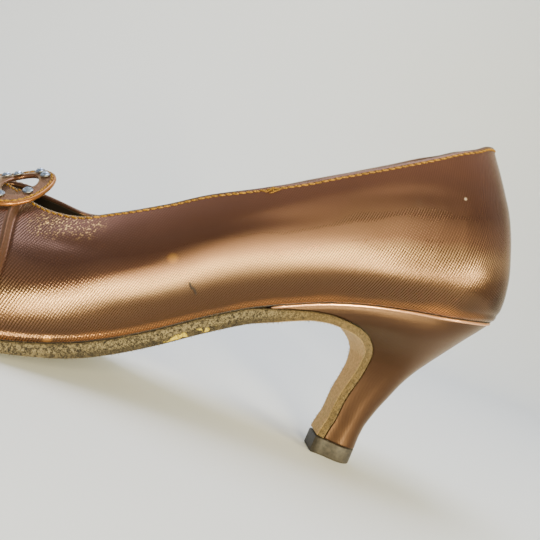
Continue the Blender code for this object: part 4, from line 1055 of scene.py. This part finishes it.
# Painted light: the flap's face, tan like the suede, is laid paler where it lies in shade, as if lit.
face = add(tree, "MapRange", [(share.outputs["Y"], "Value")], in_From_Min=0.90, in_From_Max=0.98)
flap_face_painted_light = add(tree, "Math", [(face, 0), (share.outputs["X"], 1)], operation="MULTIPLY")
lay_suede(flap_face_painted_light, "#b08f5c", "#dcb980")
# Yellow cement squeezed out in drops along the lower edge of the waist, on the outer side.
CEMENT_FROM, CEMENT_TO, CEMENT_SIDE = -0.0750, -0.0560, -0.012
CEMENT_FADE_IN, CEMENT_FADE_OUT = 0.0050, 0.0040
here = add(tree, "SeparateXYZ", [(coords, "Vector")])
runs = add(tree, "TexNoise", [(coords, "Vector")], in_Scale=420.0, in_Detail=2.0)
drops = add(tree, "MapRange", [(runs, "Value")], in_From_Min=0.53, in_From_Max=0.57)
span = add(tree, "MapRange", [(here.outputs["X"], "Value")], interpolation_type="SMOOTHSTEP",
           in_From_Min=CEMENT_FROM, in_From_Max=CEMENT_FROM + CEMENT_FADE_IN)
span_end = add(tree, "MapRange", [(here.outputs["X"], "Value")], interpolation_type="SMOOTHSTEP",
               in_From_Min=CEMENT_TO - CEMENT_FADE_OUT, in_From_Max=CEMENT_TO, in_To_Min=1.0, in_To_Max=0.0)
outer_side = add(tree, "Math", [(here.outputs["Y"], 0)], operation="LESS_THAN", in_1=CEMENT_SIDE)
on_edge = add(tree, "MapRange", [(share.outputs["Y"], "Value")], in_From_Min=0.90, in_From_Max=0.97,
              in_To_Min=1.0, in_To_Max=0.0)
cement = drops
for part_mask in (span, span_end, outer_side, low, on_edge):
    cement = add(tree, "Math", [(cement, 0), (part_mask, 1)], operation="MULTIPLY")
lay_suede(cement, "#8f7d20", "#bda93c")
bump = add(tree, "Bump", [(half_both, "Height")], in_Strength=0.8, in_Distance=0.0004)
join(tree, bump, shader.inputs["Normal"])
outsole = place(grid_piece("suede_sole", sole_grid, sole_cloth, sole_place), suede)
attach(outsole, "root")
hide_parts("outsole")

# The nap at the sole's cut edges: short fibres of the split, raised by brushing. They stand out and break up
# its outline.
FIBRE_COUNT = 9000
FIBRE_LENGTH = 0.0009
FIBRE_WIDTH = 0.00007
# Columns of the sole's sections that lie round its outer and its inner edge.
OUTER_RIM, INNER_RIM = (90, 103), (38, 51)


def edge_fibres(seed=5):
    """Thin three-sided spikes on random points of the sole's two rims, leaning at random off the normal.

    The normal is the cross product of the sole's two slopes, turned away from the middle of its section.
    """
    rng = np.random.default_rng(seed)
    body = sole_grid[1:-1]
    normal = unit(np.cross(np.gradient(body, axis=0), np.gradient(body, axis=1)))
    normal = normal * np.sign(np.sum(normal * (body - body.mean(axis=1, keepdims=True)), axis=-1,
                                     keepdims=True))
    row = rng.integers(1, len(body) - 2, FIBRE_COUNT)
    column = np.where(rng.random(FIBRE_COUNT) < 0.5, rng.integers(*OUTER_RIM, FIBRE_COUNT),
                      rng.integers(*INNER_RIM, FIBRE_COUNT))
    root = body[row, column] + (body[row + 1, column] - body[row, column]) * rng.random((FIBRE_COUNT, 1))
    root = root + (body[row, column + 1] - body[row, column]) * rng.random((FIBRE_COUNT, 1))
    out = normal[row, column]
    lean = unit(out + 0.7 * rng.normal(size=(FIBRE_COUNT, 3)))
    lean = lean * np.sign(np.sum(lean * out, axis=-1, keepdims=True))
    across = unit(np.cross(lean, rng.normal(size=(FIBRE_COUNT, 3))))
    third = np.cross(lean, across)
    long = FIBRE_LENGTH * (0.3 + 0.7 * rng.random(FIBRE_COUNT))[:, None]
    foot = [root - out * 0.0001 + FIBRE_WIDTH * (across * np.cos(a) + third * np.sin(a))
            for a in np.radians((0, 120, 240))]
    return np.stack([*foot, root + lean * long], axis=1)


fibre_points = edge_fibres()
fibre_faces = (4 * np.arange(FIBRE_COUNT))[:, None,
                                           None] + np.array(((0, 1, 3), (1, 2, 3), (2, 0, 3), (2, 1, 0)))
nap_mesh = bpy.data.meshes.new("suede_nap")
nap_mesh.from_pydata(fibre_points.reshape(-1, 3).tolist(), [], fibre_faces.reshape(-1, 3).tolist())
# Loose fibres of the same suede, matt, some dark with dirt and some pale.
nap = grained("loose_suede_nap", 1500.0, (0.40, "#1d1911"), (0.60, "#8c7c5c"), detail=1.0, Roughness=0.95)
fibres = place(bpy.data.objects.new("suede_nap", nap_mesh), nap)
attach(fibres, "root")

# The top piece of the heel: hard dark rubber, cut to the stem's outline with slightly rounded edges, and
# pinned up into the stem.
TIP_ROUND = 0.0004
tip_outer, tip_inner = heel_outer[0].copy(), heel_inner[0].copy()
tip_outer[-1, 0] -= FLAP_THICKNESS + GAP
tip_inner[-1, 0] -= FLAP_THICKNESS + GAP
tip_loop = heel_loop(tip_outer[None], tip_inner[None])[0]
tip_middle = tip_loop.mean(axis=0)
tip_rings = []
tip_top = tip_loop[0, 2] - GAP
# How far in from the edge and how high each ring of the top piece lies, from the top down.
TIP_PROFILE = ((1.0, tip_top), (TIP_ROUND, tip_top), (0.3 * TIP_ROUND, tip_top - 0.3 * TIP_ROUND),
               (0, tip_top - TIP_ROUND), (0, TIP_ROUND), (0.3 * TIP_ROUND, 0.3 * TIP_ROUND), (TIP_ROUND, 0),
               (1.0, 0))
tip_reach = np.linalg.norm(tip_loop[:, :2] - tip_middle[:2], axis=1, keepdims=True)
for inset, level in TIP_PROFILE:
    ring = tip_loop.copy()
    ring[:, :2] = tip_middle[:2] + (tip_loop[:, :2] - tip_middle[:2]) * np.clip(1 - inset / tip_reach, 0, 1)
    ring[:, 2] = level
    tip_rings.append(ring)
# Moulded hard rubber, scuffed grey by the floor, with a dull sheen.
rubber = grained("hard_black_rubber", 900.0, (0.3, "#1d1a17"), (0.7, "#3d3832"), detail=3.0,
                 bump=(0.4, 0.0002), Roughness=0.6)
top_piece = place(grid_piece("top_piece", np.array(tip_rings), flip=True), rubber)
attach(top_piece, "root")
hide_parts("heel_tip")

# The keyhole tab: a strip of satin folded round a stiffener, with an oval hole, sewn flat over the throat.
# Its back end, round the hole, stands free of the instep.
TAB_LENGTH = 0.0470
TAB_WIDTH = 0.0245
TAB_THICKNESS = 0.0015
TAB_BACK_AHEAD = 0.1508
TAB_SIDE = -0.0070
TAB_LAID_LENGTH = 0.92
TAB_LAID_WIDTH = 0.95
TAB_SKEW = 0.05
TAB_RISE = 0.15
TAB_RISE_SHARE = 0.40
KEYHOLE_LENGTH = 0.0102
KEYHOLE_WIDTH = 0.0150
KEYHOLE_INSET = 0.0047
TAB_ROUND_POINTS = 192


def surface_height(ahead, across):
    """Height of the last seen from above: the superellipse solved for its height at a place across."""
    cap = plan_cap(ahead)
    middle = centre_line(ahead)
    ridge = middle + (BALL_WIDTH * of_last("ridge_side", ahead) - middle) * cap
    side = np.where(across < ridge, OUTER, INNER)
    tuck = SEAT_WIDTH * np.where(side == OUTER, of_last("tuck_out", ahead), of_last("tuck_in", ahead))
    edge = middle + side * (bottom_half_width(ahead, side) + tuck) * cap
    share = np.clip(np.abs((across - ridge) / (edge - ridge)), 0, 1)
    fullness = of_last("fullness", ahead)
    return bottom_height(ahead) + ridge_height(ahead) * (1 - share ** fullness) ** (1 / fullness)


def tab_place(forward, across):
    """A place on the tab's under side: forward from its back end and across it.

    The sheet is laid on the last, and its back end, over the throat, rises off it towards the inner side.
    """
    forward, across = np.asarray(forward, float), np.asarray(across, float)
    ahead = TAB_BACK_AHEAD + forward * TAB_LAID_LENGTH
    side = TAB_SIDE + across * TAB_LAID_WIDTH + forward * TAB_SKEW
    free = 1 - ease(forward / (TAB_RISE_SHARE * TAB_LENGTH))
    return world_point(ahead, side, surface_height(ahead,
                                                   side) + TAB_RISE * (across + 0.5 * TAB_WIDTH) * free)


def tab_normal(forward, across, reach=0.001):
    """The tab's upward direction: the cross product of its two slopes over a short reach."""
    a = tab_place(forward + reach, across) - tab_place(forward - reach, across)
    b = tab_place(forward, across + reach) - tab_place(forward, across - reach)
    normal = unit(np.cross(a, b))
    return normal * np.sign(normal[..., 2:3])


def tab_outline(count):
    """The tab's edge: two half circles joined by straight sides, in even steps from its back end."""
    radius, straight = 0.5 * TAB_WIDTH, TAB_LENGTH - TAB_WIDTH
    bend = 0.5 * np.pi * radius
    run = np.linspace(0, 2 * straight + 4 * bend, count)
    knots = np.cumsum([0, bend, straight, 2 * bend, straight, bend])
    turn = np.interp(run, knots, np.array([0, 0.5, 0.5, 1.5, 1.5, 2.0]) * np.pi)
    middle = np.interp(run, knots, (radius, radius, radius + straight, radius + straight, radius, radius))
    return middle - radius * np.cos(turn), radius * np.sin(turn)


def keyhole_edge(turn):
    """The oval keyhole's edge: cosine and sine of a direction times half its length and width."""
    centre = KEYHOLE_INSET + 0.5 * KEYHOLE_LENGTH
    return centre - 0.5 * KEYHOLE_LENGTH * np.cos(turn), 0.5 * KEYHOLE_WIDTH * np.sin(turn)


def tab_at(share, height):
    """A ring round the tab: share 0 is the keyhole's edge and 1 is the outline, at a height over the last."""
    forward, across = tab_outline(TAB_ROUND_POINTS + 1)
    hole_forward, hole_across = keyhole_edge(np.arctan2(across,
                                                        KEYHOLE_INSET + 0.5 * KEYHOLE_LENGTH - forward))
    f, a = hole_forward + (forward - hole_forward) * share, hole_across + (across - hole_across) * share
    return tab_place(f, a) + tab_normal(f, a) * height


TAB_LOW = VAMP_STEP + GAP
TAB_HIGH = TAB_LOW + TAB_THICKNESS
tab_profile = [(0.10, TAB_LOW), (0.03, TAB_LOW + 0.0003), (0.0, TAB_LOW + 0.0008), (0.02, TAB_HIGH - 0.0004),
               (0.08, TAB_HIGH - 0.0001), (0.16, TAB_HIGH)]
tab_profile += [(share, TAB_HIGH) for share in np.linspace(0.22, 0.80, 12)]
tab_profile += [(0.86, TAB_HIGH), (0.93, TAB_HIGH - 0.0001), (0.98, TAB_HIGH - 0.0005),
                (1.0, TAB_LOW + 0.0009), (0.985, TAB_LOW + 0.0003), (0.95, TAB_LOW)]
tab_profile += [(share, TAB_LOW) for share in np.linspace(0.90, 0.10, 9)]
tab_rings = np.array([tab_at(share, height) for share, height in tab_profile])
# Satin on a stiffener, lying flat, with a faint weave and a soft gloss.
TAB_TONES = ((0.0, "#6a4735"), (1.0, "#664536"))
tab_satin = satin("folded_satin_tab", TAB_TONES, weave=0.5, anisotropy=0.0)
tab = place(grid_piece("keyhole_tab", tab_rings, run_map(tab_rings), even_map(tab_rings, 0.8)), tab_satin)
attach(tab, "root")
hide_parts("throat_tab")

# The tab's rim: its satin folded round the stiffener's edge in a small round roll, painted lighter as a
# painted highlight. A row of the mustard thread holds the fold down.
RIM_ROLL = 0.00075
RIM_SHARE = 0.965
SEAM_SHARE = 0.86
TAB_STITCH_PITCH = 0.0019
RIM_PAINTED_HIGHLIGHT_TONES = ((0.0, "#8e5d33"), (1.0, "#8e5d33"))
rim_satin = satin("copper_satin_tab_rim", RIM_PAINTED_HIGHLIGHT_TONES, weave=0.3, anisotropy=0.0)
rim_path = tab_at(RIM_SHARE, TAB_LOW + 0.5 * TAB_THICKNESS)
rim_up = tab_at(RIM_SHARE, TAB_HIGH) - tab_at(RIM_SHARE, TAB_LOW)
rim_points = tube(rim_path, unit(rim_up), RIM_ROLL, 12)
rim_points[-1] = rim_points[0]
tab_rim = place(grid_piece("tab_rim_roll", rim_points, run_map(rim_points), even_map(rim_points, 0.5)),
                rim_satin)
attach(tab_rim, "root")
tab_seam = tab_at(SEAM_SHARE, TAB_HIGH)
stitch_row("tab_stitching", tab_seam, unit(rim_up), 0.0, pitch=TAB_STITCH_PITCH)

# The stones: cut glass with silver foil behind, each glued in a thin metal cup round the keyhole. They are
# set by hand, so their places are uneven.
STONE_RADIUS = 0.0014
STONE_HEIGHT = 0.0011
STONE_FACETS = 8
# Foot, girdle's two edges, crown corners and table: share of the radius, share of the height, turn in facets.
STONE_PROFILE = ((0.0, 0.0, 0.0), (1.0, 0.0, 0.0), (1.0, 0.30, 0.0), (0.80, 0.68, 0.5), (0.52, 1.0, 0.0),
                 (0.0, 1.0, 0.0))
# Direction round the keyhole in degrees, from the tab's back end towards the inner side, and the share of the
# way from the keyhole's edge to the tab's outline.
STONE_PLACES = ((-148, 0.22), (-114, 0.34), (-47, 0.25), (28, 0.45), (61, 0.55), (112, 0.15), (134, 0.30),
                (178, 0.12))


def stone_points():
    """Rings of points of all the stones: for each a foot, a girdle, crown corners and the table."""
    turn, share = np.radians([row[0] for row in STONE_PLACES]), np.array([row[1] for row in STONE_PLACES])
    edge_forward, edge_across = tab_outline(721)
    bearing = np.arctan2(edge_across, KEYHOLE_INSET + 0.5 * KEYHOLE_LENGTH - edge_forward)
    order = np.argsort(bearing)
    hole_forward, hole_across = keyhole_edge(turn)
    forward = hole_forward + (np.interp(turn, bearing[order], edge_forward[order]) - hole_forward) * share
    across = hole_across + (np.interp(turn, bearing[order], edge_across[order]) - hole_across) * share
    up = tab_normal(forward, across)
    seat = tab_place(forward, across) + up * (VAMP_STEP + 2 * GAP + TAB_THICKNESS)
    right = unit(np.cross(up, (1, 0, 0)))
    ahead = np.cross(right, up)
    rings = []
    for radius, height, shift in STONE_PROFILE:
        bearing = 2 * np.pi * (np.arange(STONE_FACETS + 1) + shift) / STONE_FACETS
        spoke = np.cos(bearing)[None, :, None] * right[:, None] + np.sin(bearing)[None, :, None] * ahead[:,
                                                                                                         None]
        rings.append(seat[:, None] + STONE_RADIUS * radius * spoke + up[:, None] * STONE_HEIGHT * height)
    return np.array(rings), seat, up, right, ahead


stone_rings, stone_seat, stone_up, stone_right, stone_ahead = stone_points()
# Cut glass over silver foil: each facet mirrors the room, a little blue, under a clear polished coat.
glass, tree, shader, coords = paint("foiled_cut_glass", Metallic=0.8, Roughness=0.08, Coat_Weight=1.0)
flash = add(tree, "TexVoronoi", [(coords, "Vector")], in_Scale=900.0)
join(tree, ramp(tree, flash, (0.0, "#b9cdec"), (1.0, "#7f93b8")), shader.inputs["Base Color"])
for k in range(len(STONE_PLACES)):
    stone = place(grid_piece(f"cut_stone_{k + 1}", stone_rings[:, k]), glass)
    stone.data.shade_flat()
    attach(stone, "root")
    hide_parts(f"stone_{k + 1}")

# The cups: thin rings that hold the stones by the girdle, pressed from brass and tinned. Each is glued on
# the tab.
CUP_WIRE = 0.00026
# Pressed brass, tinned and dulled by handling: a grey metal with a blurred gloss.
tin = grained("tinned_brass_cup", 1800.0, (0.3, "#5d5f63"), (0.7, "#a3a6ab"), Metallic=1.0, Roughness=0.35)
turn = np.linspace(0, 2 * np.pi, 25)[:, None]
for k in range(len(STONE_PLACES)):
    ring = stone_seat[k] + stone_up[k] * 0.20 * STONE_HEIGHT + STONE_RADIUS * (
        np.cos(turn) * stone_right[k] + np.sin(turn) * stone_ahead[k])
    wire = tube(ring, stone_up[k], CUP_WIRE, 8)
    wire[-1] = wire[0]
    cup = place(grid_piece(f"stone_cup_{k + 1}", wire), tin)
    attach(cup, "root")
